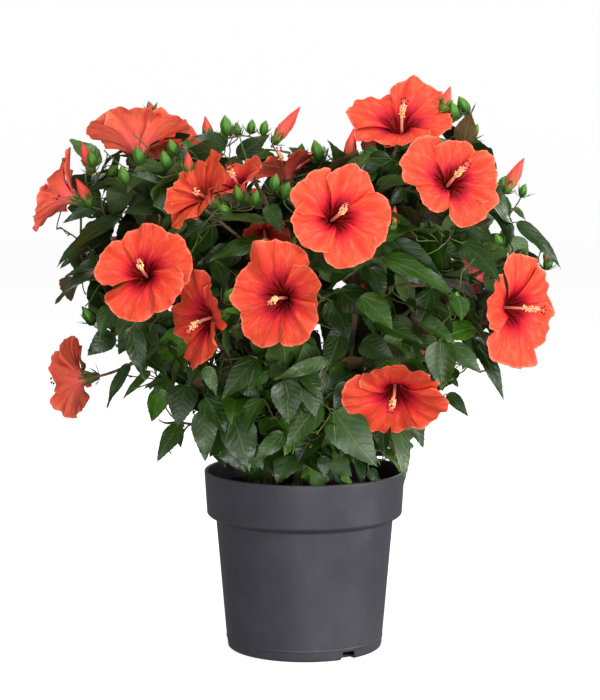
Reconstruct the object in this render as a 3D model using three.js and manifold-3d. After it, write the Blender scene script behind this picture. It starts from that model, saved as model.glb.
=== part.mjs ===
// A flowering hibiscus shrub, several stems grown as one bush, in a round nursery pot.
// Millimetres, +Z up, the origin at the centre of the pot's underside, -Y to the front.
import * as THREE from "three";
import { mergeVertices } from "three/addons/utils/BufferGeometryUtils.js";
import Module from "manifold-3d";

const wasm = await Module();
wasm.setup();

// ---------------------------------------------------------------- driving sizes
const GAP = 0.35; // between pieces that touch

// pot
const RIM_R = 120; // outer radius at the rim
const POT_H = 214.9;
const COLLAR_Z = 162.8; // underside of the collar
const COLLAR_R = 116.9; // outer radius at the collar's lower edge
const SHOULDER_Z = 156; // where the body meets the step under the collar
const SHOULDER_R = 106.2;
const FOOT_R = 93;
const FOOT_ROUND = 3;
const WALL = 2.4;
const LIP = 3.4; // the rolled edge is a little thicker
const FLOOR = 3;
const POT_SIDES = 40;
const NOTCH_W = 17; // drainage notches in the bottom edge
const NOTCH_H = 10;
const NOTCH_DEEP = 12;
const NOTCH_AT = [34, 154, 274]; // degrees from the front, towards +X

// potting mix
const SOIL_Z = 191;

// stems: foot on the mix, lean out and end at their fork
const STEM_SIDES = 8;
const STEM_FLARE = 1.45; // foot radius over stem radius
const STEM_TAPER = 0.66; // fork radius over stem radius
const STEMS = [
  // name, foot [x, y], fork [x, y, z], radius, bow sideways
  ["stem_left_front", [-52, -24], [-78, -30, 318], 5.2, [-6, -4]],
  ["stem_left_back", [-44, 12], [-66, 34, 352], 5.0, [6, 5]],
  ["stem_centre_front", [-10, -28], [-16, -34, 376], 4.8, [5, -3]],
  ["stem_right_front", [45, -20], [60, -28, 412], 5.4, [-5, 2]],
  ["stem_right_back", [40, 22], [72, 34, 336], 4.8, [4, -5]],
  ["stem_back", [-4, 40], [6, 52, 384], 5.0, [-7, 2]],
];

// the clear heart of the bush, where only stems and boughs run
const HEART = { x: -4, y: 4, rx: 94, ry: 58 };
const RIM_CLEAR_Z = 218; // no leaf mass reaches lower than this

// masses of foliage: centre, half sizes [x, y, z], roughness of outline
const MASSES = [
  ["foliage_top_left", [-199, -14, 600], [66, 84, 50]],
  ["foliage_far_left", [-269, 10, 530], [50, 80, 64]],
  ["foliage_left_outer_low", [-246, 8, 448], [42, 76, 52]],
  ["foliage_left_mid", [-184, -110, 460], [60, 84, 66]],
  ["foliage_upper_left_inner", [-129, -98, 543], [60, 84, 58]],
  ["foliage_upper_centre_left", [-64, -24, 574], [72, 88, 56]],
  ["foliage_centre_upper", [42, -112, 520], [70, 84, 68]],
  ["foliage_centre", [-22, -144, 431], [70, 72, 74]],
  ["foliage_centre_left", [-106, -118, 382], [56, 72, 62]],
  ["foliage_top_right", [118, -40, 613], [72, 90, 62]],
  ["foliage_upper_right", [178, -54, 546], [68, 88, 56]],
  ["foliage_right_outer", [246, 0, 473], [60, 80, 46]],
  ["foliage_right_lower", [242, -24, 396], [58, 76, 60]],
  ["foliage_right_hanging", [208, -20, 340], [32, 46, 38]],
  ["foliage_right_inner", [138, -102, 445], [74, 84, 74]],
  ["foliage_lower_right", [117, -104, 322], [80, 76, 58]],
  ["foliage_foot_right", [98, -64, 250], [33, 50, 34]],
  ["foliage_lower_centre", [8, -122, 314], [62, 66, 68]],
  ["foliage_lower_centre_left", [-80, -104, 292], [56, 64, 68]],
  ["foliage_lower_left", [-184, -46, 350], [52, 74, 50]],
  ["foliage_lower_left_hanging", [-147, -66, 289], [32, 52, 58]],
  ["foliage_left_outlier", [-277, 0, 324], [24, 34, 50]],
  ["foliage_back_top_left", [-146, 114, 546], [96, 92, 72]],
  ["foliage_back_top_centre", [-14, 104, 536], [90, 90, 66]],
  ["foliage_back_top_right", [126, 108, 548], [92, 92, 76]],
  ["foliage_back_left", [-206, 132, 430], [86, 92, 84]],
  ["foliage_back_centre", [-60, 190, 436], [90, 84, 92]],
  ["foliage_back_mid_right", [84, 188, 430], [90, 84, 88]],
  ["foliage_back_right", [206, 122, 434], [84, 92, 82]],
  ["foliage_back_low_left", [-118, 148, 316], [94, 82, 74]],
  ["foliage_back_low_right", [96, 150, 312], [98, 82, 72]],
];
const MASS_DETAIL = 2; // triangles: 20 * (detail + 1) squared
const LUMP = 0.17; // how uneven a mass is
const MASS_GAP = 2.5; // between neighbouring masses
const BLEND = 14; // how sharply a mass turns where it meets a neighbour

// boughs: from a stem's fork towards a mass
const BOUGH_SIDES = 6;
const BOUGH_STEPS = 6;
const BOUGHS = [
  // name, stem, mass, radius, how far it first climbs before it turns out
  ["bough_lower_left", "stem_left_front", "foliage_lower_left", 2.9, 20],
  ["bough_left_mid", "stem_left_front", "foliage_left_mid", 3.1, 34],
  ["bough_centre_left", "stem_left_front", "foliage_centre_left", 2.7, 20],
  ["bough_far_left", "stem_left_back", "foliage_left_outer_low", 3.1, 26],
  ["bough_back_left", "stem_left_back", "foliage_back_left", 3.0, 24],
  ["bough_top_left", "stem_left_back", "foliage_top_left", 3.2, 60],
  ["bough_centre", "stem_centre_front", "foliage_centre", 2.8, 20],
  ["bough_upper_left", "stem_centre_front", "foliage_upper_left_inner", 3.0, 48],
  ["bough_top_centre", "stem_centre_front", "foliage_upper_centre_left", 3.1, 60],
  ["bough_centre_upper", "stem_right_front", "foliage_centre_upper", 2.9, 26],
  ["bough_right_inner", "stem_right_front", "foliage_right_inner", 2.8, 14],
  ["bough_top_right", "stem_right_front", "foliage_top_right", 3.3, 60],
  ["bough_right", "stem_right_back", "foliage_right_lower", 3.1, 22],
  ["bough_back_right", "stem_right_back", "foliage_back_right", 3.0, 26],
  ["bough_lower_right", "stem_right_back", "foliage_lower_right", 2.5, 6],
  ["bough_back_centre", "stem_back", "foliage_back_centre", 2.9, 18],
  ["bough_back_low_right", "stem_back", "foliage_back_mid_right", 2.8, 10],
  ["bough_back_top", "stem_back", "foliage_back_top_centre", 3.1, 50],
];
// the long shoot that carries the outlying mass on the left
const OUTLIER_SHOOT = {
  name: "bough_left_outlier",
  from: "foliage_lower_left",
  to: "foliage_left_outlier",
  r: 1.9,
};

// ---------------------------------------------------------------- colours
const PAINT = {
  pot: { color: 0x46494d, roughness: 0.42, metalness: 0 },
  soil: { color: 0x2a211a, roughness: 0.95, metalness: 0 },
  bark: { color: 0x6b5340, roughness: 0.8, metalness: 0 },
  leaf: { color: 0x23401f, roughness: 0.5, metalness: 0 },
};

// ---------------------------------------------------------------- helpers
const vec = (x, y, z) => new THREE.Vector3(x, y, z);

function random(seed) {
  let s = seed >>> 0;
  return () => {
    s = (s + 0x6d2b79f5) >>> 0;
    let t = Math.imul(s ^ (s >>> 15), 1 | s);
    t = (t + Math.imul(t ^ (t >>> 7), 61 | t)) ^ t;
    return ((t ^ (t >>> 14)) >>> 0) / 4294967296;
  };
}

function closed(geometry) {
  const g = geometry.clone();
  g.deleteAttribute("normal");
  g.deleteAttribute("uv");
  return mergeVertices(g, 1e-4);
}

function solid(geometry) {
  const g = closed(geometry);
  return new wasm.Manifold(
    new wasm.Mesh({
      numProp: 3,
      vertProperties: new Float32Array(g.attributes.position.array),
      triVerts: new Uint32Array(g.index.array),
    }),
  );
}

function geometryOf(manifold) {
  const m = manifold.getMesh();
  const points = new Float32Array(m.numVert * 3);
  for (let i = 0; i < m.numVert; i++)
    for (let k = 0; k < 3; k++)
      points[3 * i + k] = m.vertProperties[i * m.numProp + k];
  const g = new THREE.BufferGeometry();
  g.setAttribute("position", new THREE.BufferAttribute(points, 3));
  g.setIndex(new THREE.BufferAttribute(new Uint32Array(m.triVerts), 1));
  g.computeVertexNormals();
  return g;
}

// The biggest of the bodies that a cut leaves.
function biggest(manifold) {
  return manifold.decompose().sort((a, b) => b.volume() - a.volume())[0];
}

// A closed limb along a curve, with its radius a function of how far along it is.
function limb(curve, radiusAt, sides, steps) {
  const g = new THREE.CylinderGeometry(1, 1, 1, sides, steps, false);
  const frames = curve.computeFrenetFrames(steps, false);
  const p = g.attributes.position;
  const at = vec(0, 0, 0);
  for (let i = 0; i < p.count; i++) {
    const t = Math.min(Math.max(p.getY(i) + 0.5, 0), 1);
    const k = Math.round(t * steps);
    curve.getPointAt(t, at);
    const r = radiusAt(t);
    at.addScaledVector(frames.normals[k], p.getX(i) * r);
    at.addScaledVector(frames.binormals[k], -p.getZ(i) * r);
    p.setXYZ(i, at.x, at.y, at.z);
  }
  const made = closed(g);
  const a = vec(0, 0, 0), b = vec(0, 0, 0), c = vec(0, 0, 0);
  let volume = 0;
  for (let i = 0; i < made.index.count; i += 3) {
    a.fromBufferAttribute(made.attributes.position, made.index.getX(i));
    b.fromBufferAttribute(made.attributes.position, made.index.getX(i + 1));
    c.fromBufferAttribute(made.attributes.position, made.index.getX(i + 2));
    volume += a.dot(b.cross(c));
  }
  if (volume < 0) {
    const index = made.index.array;
    for (let i = 0; i < index.length; i += 3)
      [index[i + 1], index[i + 2]] = [index[i + 2], index[i + 1]];
  }
  return made;
}

// ---------------------------------------------------------------- pot and mix
function potBody() {
  const inner = (z, r) => new THREE.Vector2(r, z);
  const profile = [
    inner(0, 0),
    inner(0, FOOT_R - FOOT_ROUND),
    inner(FOOT_ROUND * 0.35, FOOT_R - FOOT_ROUND * 0.3),
    inner(FOOT_ROUND, FOOT_R),
    inner(SHOULDER_Z, SHOULDER_R),
    inner(COLLAR_Z - 2, COLLAR_R - 2),
    inner(COLLAR_Z, COLLAR_R),
    inner(POT_H - 1.4, RIM_R),
    inner(POT_H, RIM_R - 1.2),
    inner(POT_H, RIM_R - LIP + 0.8),
    inner(POT_H - 1.4, RIM_R - LIP),
    inner(POT_H - 8, RIM_R - LIP),
    inner(COLLAR_Z + WALL, COLLAR_R - WALL),
    inner(SHOULDER_Z + WALL, SHOULDER_R - WALL),
    inner(FLOOR, FOOT_R - WALL),
    inner(FLOOR, 0),
  ];
  let pot = solid(new THREE.LatheGeometry(profile, POT_SIDES).rotateX(Math.PI / 2));
  if (pot.volume() < 0) throw new Error("the pot is inside out");
  for (const degrees of NOTCH_AT) {
    const shape = new THREE.Shape();
    shape.moveTo(-NOTCH_W / 2, -4);
    shape.lineTo(NOTCH_W / 2, -4);
    shape.lineTo(NOTCH_W / 2, 0);
    shape.lineTo(NOTCH_W / 2 - 3.2, NOTCH_H);
    shape.lineTo(-NOTCH_W / 2 + 3.2, NOTCH_H);
    shape.lineTo(-NOTCH_W / 2, 0);
    shape.closePath();
    const cut = new THREE.ExtrudeGeometry(shape, {
      depth: NOTCH_DEEP + 12,
      bevelEnabled: false,
    });
    cut.rotateX(Math.PI / 2); // the outline stands up, its depth runs along -Y
    cut.translate(0, -(FOOT_R - NOTCH_DEEP), 0);
    cut.rotateZ((degrees * Math.PI) / 180);
    pot = pot.subtract(solid(cut));
  }
  return pot;
}

function mixBody() {
  // The mix fills the pot to SOIL_Z and keeps its own side over the notches.
  const at = (z, r) => new THREE.Vector2(r, z);
  const side = (z) => {
    // the wall's inner radius at a height
    const k = (z - FLOOR) / (SHOULDER_Z + WALL - FLOOR);
    return FOOT_R - WALL + k * (SHOULDER_R - FOOT_R);
  };
  const collarSide = (z) =>
    COLLAR_R - WALL + ((z - COLLAR_Z) / (POT_H - COLLAR_Z)) * (RIM_R - COLLAR_R - 1);
  const profile = [
    at(FLOOR + GAP, 0),
    at(FLOOR + GAP, side(FLOOR) - 14),
    at(FLOOR + GAP + 12, side(FLOOR + 12) - 3),
    at(SHOULDER_Z + WALL + 0.8, SHOULDER_R - WALL - 2.6),
    at(COLLAR_Z + WALL + 1.4, COLLAR_R - WALL - 3),
    at(SOIL_Z, collarSide(SOIL_Z) - 2.6),
    at(SOIL_Z, 0),
  ];
  return solid(new THREE.LatheGeometry(profile, 20).rotateX(Math.PI / 2));
}

// ---------------------------------------------------------------- stems
function stemCurve([, foot, fork, , bow]) {
  const z0 = SOIL_Z + GAP;
  const mid = (k) =>
    vec(
      foot[0] + (fork[0] - foot[0]) * k + bow[0] * Math.sin(Math.PI * k),
      foot[1] + (fork[1] - foot[1]) * k + bow[1] * Math.sin(Math.PI * k),
      z0 + (fork[2] - z0) * k,
    );
  return new THREE.CatmullRomCurve3(
    [vec(foot[0], foot[1], z0 - 6), mid(0.2), mid(0.5), mid(0.8), vec(...fork)],
    false,
    "catmullrom",
    0.5,
  );
}

function stemRadius(r) {
  return (t) =>
    r * (1 - (1 - STEM_TAPER) * t + (STEM_FLARE - 1) * Math.exp(-t / 0.05));
}

const ground = new THREE.BoxGeometry(400, 400, 60).translate(
  0,
  0,
  SOIL_Z + GAP - 30,
);

function stemSolid(row, extra = 0) {
  const curve = stemCurve(row);
  const r = stemRadius(row[3]);
  const g = limb(curve, (t) => r(t) + extra, STEM_SIDES, 7);
  return solid(g).subtract(solid(ground)); // a flat cut at the mix
}

// ---------------------------------------------------------------- foliage masses
// The unevenness of a mass: a few smooth waves over its directions.
function waves(seed) {
  const next = random(seed);
  const list = [];
  for (let k = 0; k < 7; k++) {
    const f = vec(next() - 0.5, next() - 0.5, next() - 0.5)
      .normalize()
      .multiplyScalar(2.2 + 3.6 * next());
    list.push([f, next() * Math.PI * 2, 1 / (1 + 0.35 * k)]);
  }
  const total = list.reduce((sum, w) => sum + w[2], 0);
  return (d) =>
    list.reduce((sum, [f, phase, w]) => sum + w * Math.cos(f.dot(d) + phase), 0) /
    (total * 0.62);
}

const oval = (d, r) =>
  1 / Math.sqrt((d.x / r[0]) ** 2 + (d.y / r[1]) ** 2 + (d.z / r[2]) ** 2);

// Flat limits round a mass: halfway to each neighbour, the heart of the bush and the pot's rim.
function limitsOf(index) {
  const [, c, r] = MASSES[index];
  const centre = vec(...c);
  const limits = [];
  MASSES.forEach(([, c2, r2], j) => {
    if (j === index) return;
    const across = vec(...c2).sub(centre);
    const far = across.length();
    across.normalize();
    const a = oval(across, r),
      b = oval(across, r2);
    if (far > 1.5 * (a + b)) return;
    limits.push([across, (far * a) / (a + b) - MASS_GAP / 2]);
  });
  const out = vec(c[0] - HEART.x, c[1] - HEART.y, 0);
  const away = out.length();
  out.normalize();
  const support = Math.hypot(HEART.rx * out.x, HEART.ry * out.y);
  if (c[2] < 500) limits.push([out.clone().negate(), away - support]);
  else limits.push([vec(0, 0, -1), c[2] - 440]);
  limits.push([vec(0, 0, -1), c[2] - RIM_CLEAR_Z]);
  for (const [, far] of limits)
    if (far <= 4) throw new Error(MASSES[index][0] + " has its centre outside a limit");
  return limits;
}

function massGeometry(index, extra = 0) {
  const [, c, r] = MASSES[index];
  const g = closed(new THREE.IcosahedronGeometry(1, MASS_DETAIL));
  const wave = waves(101 + 17 * index);
  const limits = limitsOf(index);
  const p = g.attributes.position;
  const d = vec(0, 0, 0);
  for (let i = 0; i < p.count; i++) {
    d.fromBufferAttribute(p, i).normalize();
    let sum = Math.pow(oval(d, r) * (1 + LUMP * wave(d)), -BLEND);
    for (const [n, far] of limits) {
      const toward = n.dot(d);
      if (toward > 1e-6) sum += Math.pow(far / toward, -BLEND);
    }
    const reach = Math.pow(sum, -1 / BLEND) + extra;
    p.setXYZ(i, c[0] + d.x * reach, c[1] + d.y * reach, c[2] + d.z * reach);
  }
  return g;
}

// ---------------------------------------------------------------- the whole
const plant = new THREE.Group();
function add(name, geometry, paint) {
  const mesh = new THREE.Mesh(
    geometry,
    new THREE.MeshStandardMaterial({ ...PAINT[paint] }),
  );
  mesh.name = name;
  plant.add(mesh);
}

add("pot", geometryOf(potBody()), "pot");
add("potting_mix", geometryOf(mixBody()), "soil");

const massIndex = new Map(MASSES.map(([name], i) => [name, i]));
const massSolids = MASSES.map((_, i) => solid(massGeometry(i)));
const massRoom = MASSES.map((_, i) => solid(massGeometry(i, 1.2)));
MASSES.forEach(([name], i) => add(name, geometryOf(massSolids[i]), "leaf"));

const stemRow = new Map(STEMS.map((row) => [row[0], row]));
const placed = []; // grown by the gap, for the boughs to be cut round
for (const row of STEMS) {
  let body = stemSolid(row);
  massRoom.forEach((room) => {
    body = body.subtract(room);
  });
  add(row[0], geometryOf(biggest(body)), "bark");
  placed.push(stemSolid(row, GAP + 0.1));
}

for (const [name, stem, mass, radius, climb] of BOUGHS) {
  const row = stemRow.get(stem);
  const fork = vec(...row[2]);
  const target = vec(...MASSES[massIndex.get(mass)][1]);
  const out = target.clone().sub(fork);
  const start = fork.clone().addScaledVector(stemCurve(row).getTangentAt(1), 1.2);
  const curve = new THREE.CatmullRomCurve3(
    [
      start,
      start
        .clone()
        .addScaledVector(vec(0, 0, 1), climb * 0.5)
        .addScaledVector(out, 0.12),
      start
        .clone()
        .addScaledVector(vec(0, 0, 1), climb * 0.8)
        .addScaledVector(out, 0.4),
      target,
    ],
    false,
    "centripetal",
  );
  const r = (t) => radius * (1 - 0.45 * t);
  let body = solid(limb(curve, r, BOUGH_SIDES, BOUGH_STEPS));
  massRoom.forEach((room) => {
    body = body.subtract(room);
  });
  placed.forEach((other) => {
    body = body.subtract(other);
  });
  const pieces = body.decompose();
  // keep the piece that starts at the fork
  const nearFork = (m) => {
    const b = m.boundingBox();
    const near = vec(
      Math.min(Math.max(fork.x, b.min[0]), b.max[0]),
      Math.min(Math.max(fork.y, b.min[1]), b.max[1]),
      Math.min(Math.max(fork.z, b.min[2]), b.max[2]),
    );
    return near.distanceTo(fork);
  };
  const big = pieces.filter((m) => m.volume() > 60);
  if (!big.length) throw new Error(name + " has nothing left of it");
  big.sort((a, b) => nearFork(a) - nearFork(b));
  add(name, geometryOf(big[0]), "bark");
  placed.push(solid(limb(curve, (t) => r(t) + GAP + 0.1, BOUGH_SIDES, BOUGH_STEPS)));
}

{
  const a = vec(...MASSES[massIndex.get(OUTLIER_SHOOT.from)][1]);
  const b = vec(...MASSES[massIndex.get(OUTLIER_SHOOT.to)][1]);
  const curve = new THREE.QuadraticBezierCurve3(
    a,
    a.clone().lerp(b, 0.55).add(vec(0, 0, -14)),
    b,
  );
  let body = solid(
    limb(curve, (t) => OUTLIER_SHOOT.r * (1 - 0.3 * t), BOUGH_SIDES, 5),
  );
  massRoom.forEach((room) => {
    body = body.subtract(room);
  });
  placed.forEach((other) => {
    body = body.subtract(other);
  });
  add(OUTLIER_SHOOT.name, geometryOf(biggest(body)), "bark");
}

export default plant;
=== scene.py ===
import math

import bpy
import bmesh
import numpy as np
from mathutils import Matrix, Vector
from mathutils.bvhtree import BVHTree
from mathutils.kdtree import KDTree


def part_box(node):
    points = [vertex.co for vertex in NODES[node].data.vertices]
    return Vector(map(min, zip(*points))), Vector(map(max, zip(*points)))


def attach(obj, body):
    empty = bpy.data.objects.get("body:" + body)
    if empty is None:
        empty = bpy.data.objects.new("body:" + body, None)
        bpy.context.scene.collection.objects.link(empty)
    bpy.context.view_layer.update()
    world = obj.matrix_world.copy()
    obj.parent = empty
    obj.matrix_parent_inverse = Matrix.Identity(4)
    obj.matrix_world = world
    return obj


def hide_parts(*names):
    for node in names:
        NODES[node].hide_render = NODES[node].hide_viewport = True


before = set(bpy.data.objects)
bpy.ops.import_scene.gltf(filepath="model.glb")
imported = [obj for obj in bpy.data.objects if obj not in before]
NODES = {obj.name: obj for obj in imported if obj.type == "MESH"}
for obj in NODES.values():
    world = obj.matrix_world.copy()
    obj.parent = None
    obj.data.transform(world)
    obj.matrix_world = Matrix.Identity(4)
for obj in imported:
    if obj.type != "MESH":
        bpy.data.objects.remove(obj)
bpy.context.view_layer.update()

scene = bpy.context.scene
UVN = "OFBake"
TAU = 2 * math.pi


# ------------------------------------------------------------------ small maths
def unit(v):
    v = np.asarray(v, float)
    return v / np.maximum(np.linalg.norm(v, axis=-1, keepdims=True), 1e-12)


def lerp(a, b, t):
    return a + (b - a) * t


def smooth(a, b, x):
    t = np.clip((x - a) / (b - a), 0, 1)
    return t * t * (3 - 2 * t)


def axes_from(z, up):
    """Unit X, Y, Z rows with Z along z and Y as near up as it can be."""
    z = unit(z)
    y = up - (up * z).sum(-1, keepdims=True) * z
    y = unit(y)
    x = np.cross(y, z)
    return x, y, z


# ------------------------------------------------------------------ mesh bag
class Bag:
    """Triangles of many small shapes, to be joined into a few pieces."""

    def __init__(self):
        self.parts = []

    def add(self, V, F, U, M, rim=None):
        V = np.asarray(V, float)
        F = np.asarray(F, int)
        M = np.full(len(F), M) if np.isscalar(M) else np.asarray(M)
        rim = np.zeros(len(V), bool) if rim is None else rim
        self.parts.append((V, F, np.asarray(U, float), M, rim))

    def many(self, V, F, U, M, rim=None):
        """V (N, k, 3), F (f, 3), U (N, f, 3, 2), M (N, f)"""
        for i in range(len(V)):
            self.add(V[i], F, U[i], M[i], rim)

    def faces(self):
        return sum(len(p[1]) for p in self.parts)

    def build(self, name, mats, replaces=(), limit=185000, uv=True):
        made, group, count = [], [], 0
        for p in self.parts + [None]:
            if p is None or count + len(p[1]) > limit:
                if group:
                    made.append(self._one(f"{name}_{len(made) + 1}", group, mats, uv))
                group, count = [], 0
            if p is not None:
                group.append(p)
                count += len(p[1])
        for ob in made:
            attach(ob, "root")
            if replaces:
                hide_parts(*replaces)
        return made

    def _one(self, name, group, mats, uv):
        V = np.concatenate([p[0] for p in group])
        start = np.cumsum([0] + [len(p[0]) for p in group[:-1]])
        F = np.concatenate([p[1] + s for p, s in zip(group, start)])
        U = np.concatenate([p[2] for p in group])
        M = np.concatenate([p[3] for p in group])
        R = np.concatenate([p[4] for p in group])
        me = bpy.data.meshes.new(name)
        me.vertices.add(len(V))
        me.vertices.foreach_set("co", V.astype(np.float32).ravel())
        me.loops.add(len(F) * 3)
        me.loops.foreach_set("vertex_index", F.astype(np.int32).ravel())
        me.polygons.add(len(F))
        me.polygons.foreach_set("loop_start", np.arange(0, len(F) * 3, 3, dtype=np.int32))
        me.polygons.foreach_set("material_index", M.astype(np.int32))
        me.polygons.foreach_set("use_smooth", np.ones(len(F), bool))
        if uv:
            layer = me.uv_layers.new(name=UVN)
            layer.data.foreach_set("uv", U.astype(np.float32).ravel())
        me.update(calc_edges=True)
        if R.any():
            e = np.zeros(len(me.edges) * 2, np.int32)
            me.edges.foreach_get("vertices", e)
            e = e.reshape(-1, 2)
            a = me.attributes.new("sharp_edge", "BOOLEAN", "EDGE")
            a.data.foreach_set("value", R[e[:, 0]] & R[e[:, 1]])
        for m in mats:
            me.materials.append(m)
        me.validate()
        ob = bpy.data.objects.new(name, me)
        scene.collection.objects.link(ob)
        return ob


# ------------------------------------------------------------------ UV cells
CELLS = 3
PAD = 0.02


def cell_uv(u, v, cell):
    """Places pattern coordinates 0..1 in one of the 3 by 3 cells of a piece's map."""
    cx, cy = cell % CELLS, cell // CELLS
    s = (1 - 2 * PAD) / CELLS
    return np.stack(
        [(cx + PAD + np.clip(u, 0, 1) * (1 - 2 * PAD)) / CELLS, (cy + PAD + np.clip(v, 0, 1) * (1 - 2 * PAD)) / CELLS],
        -1,
    )


# ------------------------------------------------------------------ materials
class Mat:
    def __init__(self, name):
        self.mat = bpy.data.materials.new(name)
        self.mat.use_nodes = True
        self.nt = self.mat.node_tree
        self.b = next(n for n in self.nt.nodes if n.type == "BSDF_PRINCIPLED")

    def node(self, kind):
        return self.nt.nodes.new(kind)

    def put(self, socket, value):
        if isinstance(value, bpy.types.NodeSocket):
            self.nt.links.new(value, socket)
        else:
            socket.default_value = value

    def math(self, op, a, b=None, c=None, clamp=False):
        n = self.node("ShaderNodeMath")
        n.operation = op
        n.use_clamp = clamp
        for i, v in enumerate((a, b, c)):
            if v is not None:
                self.put(n.inputs[i], v)
        return n.outputs[0]

    def step(self, x, a, b, lo=0.0, hi=1.0):
        n = self.node("ShaderNodeMapRange")
        n.interpolation_type = "SMOOTHSTEP"
        self.put(n.inputs["Value"], x)
        n.inputs["From Min"].default_value = a
        n.inputs["From Max"].default_value = b
        n.inputs["To Min"].default_value = lo
        n.inputs["To Max"].default_value = hi
        return n.outputs["Result"]

    def mix(self, f, a, b, blend="MIX"):
        n = self.node("ShaderNodeMix")
        n.data_type = "RGBA"
        n.blend_type = blend
        n.clamp_factor = True
        self.put(n.inputs[0], f)
        self.put(n.inputs[6], a if isinstance(a, bpy.types.NodeSocket) else (*a, 1))
        self.put(n.inputs[7], b if isinstance(b, bpy.types.NodeSocket) else (*b, 1))
        return n.outputs[2]

    def ramp(self, f, stops):
        n = self.node("ShaderNodeValToRGB")
        e = n.color_ramp.elements
        while len(e) > 1:
            e.remove(e[-1])
        e[0].position, e[0].color = stops[0][0], (*stops[0][1], 1)
        for at, c in stops[1:]:
            x = e.new(at)
            x.color = (*c, 1)
        self.put(n.inputs[0], f)
        return n.outputs[0]

    def uv(self, cell):
        """Pattern coordinates 0..1 inside a cell, as two sockets."""
        m = self.node("ShaderNodeUVMap")
        m.uv_map = UVN
        s = self.node("ShaderNodeSeparateXYZ")
        self.nt.links.new(m.outputs[0], s.inputs[0])
        cx, cy = cell % CELLS, cell // CELLS
        k = 1 / (1 - 2 * PAD)
        u = self.math("MULTIPLY_ADD", s.outputs[0], CELLS * k, -(cx + PAD) * k)
        v = self.math("MULTIPLY_ADD", s.outputs[1], CELLS * k, -(cy + PAD) * k)
        return u, v

    def vec(self, x, y, z=0.0):
        n = self.node("ShaderNodeCombineXYZ")
        for i, v in enumerate((x, y, z)):
            self.put(n.inputs[i], v)
        return n.outputs[0]

    def noise(self, vector, scale, detail=2.0, rough=0.5, distort=0.0):
        n = self.node("ShaderNodeTexNoise")
        self.put(n.inputs["Vector"], vector)
        n.inputs["Scale"].default_value = scale
        n.inputs["Detail"].default_value = detail
        n.inputs["Roughness"].default_value = rough
        n.inputs["Distortion"].default_value = distort
        return n.outputs[0]

    def obj(self):
        return self.node("ShaderNodeTexCoord").outputs["Object"]

    def bump(self, height, strength, distance):
        n = self.node("ShaderNodeBump")
        n.inputs["Strength"].default_value = strength
        n.inputs["Distance"].default_value = distance
        self.put(n.inputs["Height"], height)
        self.nt.links.new(n.outputs[0], self.b.inputs["Normal"])

    def set(self, **kw):
        for k, v in kw.items():
            s = self.b.inputs[k.replace("_", " ")]
            if isinstance(v, tuple) and len(v) == 3:
                v = (*v, 1)
            self.put(s, v)
        return self


def leaf_material(name, cell, dark, light, vein, under=False, rough=0.4):
    m = Mat(name)
    u, v = m.uv(cell)
    x = m.math("MULTIPLY_ADD", u, 0.92, -0.46)
    t = m.math("MULTIPLY_ADD", v, 1.04, -0.02)
    ax = m.math("ABSOLUTE", x)
    mid = m.step(ax, 0.016, 0.005)
    pp = m.math("PINGPONG", m.math("MULTIPLY", m.math("MULTIPLY_ADD", ax, -0.9, t), 7.2), 0.5)
    lat = m.math("MULTIPLY", m.step(pp, 0.085, 0.02), m.step(ax, 0.36, 0.2))
    d2 = m.math("ABSOLUTE", m.math("SUBTRACT", ax, m.math("MULTIPLY", t, 0.62)))
    base = m.math("MULTIPLY", m.step(d2, 0.016, 0.005), m.step(t, 0.62, 0.4))
    veins = m.math("MAXIMUM", mid, m.math("MAXIMUM", m.math("MULTIPLY", lat, 0.20), m.math("MULTIPLY", base, 0.8)))
    p = m.vec(x, t)
    patch = m.noise(p, 5.0, 3.0, 0.6)
    fine = m.noise(p, 55.0, 3.0, 0.65)
    tone = m.mix(m.step(patch, 0.32, 0.7), dark, light)
    tone = m.mix(m.math("MULTIPLY", m.step(fine, 0.35, 0.75), 0.25), tone, tuple(c * 1.6 for c in light))
    m.set(Base_Color=m.mix(m.math("MULTIPLY", veins, 0.5 if under else 0.42), tone, vein))
    m.set(Roughness=m.step(fine, 0.2, 0.8, rough - 0.07, rough + 0.1))
    quilt = m.step(pp, 0.0, 0.5)
    if under:
        h = m.math("ADD", m.math("MULTIPLY", veins, 1.0), m.math("MULTIPLY", fine, 0.35))
    else:
        h = m.math("ADD", m.math("MULTIPLY", veins, -0.9), m.math("ADD", m.math("MULTIPLY", quilt, 0.22), m.math("MULTIPLY", fine, 0.3)))
    m.bump(h, 0.5, 0.0008)
    m.set(Specular_IOR_Level=0.26 if under else 0.42)
    return m.mat


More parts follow.
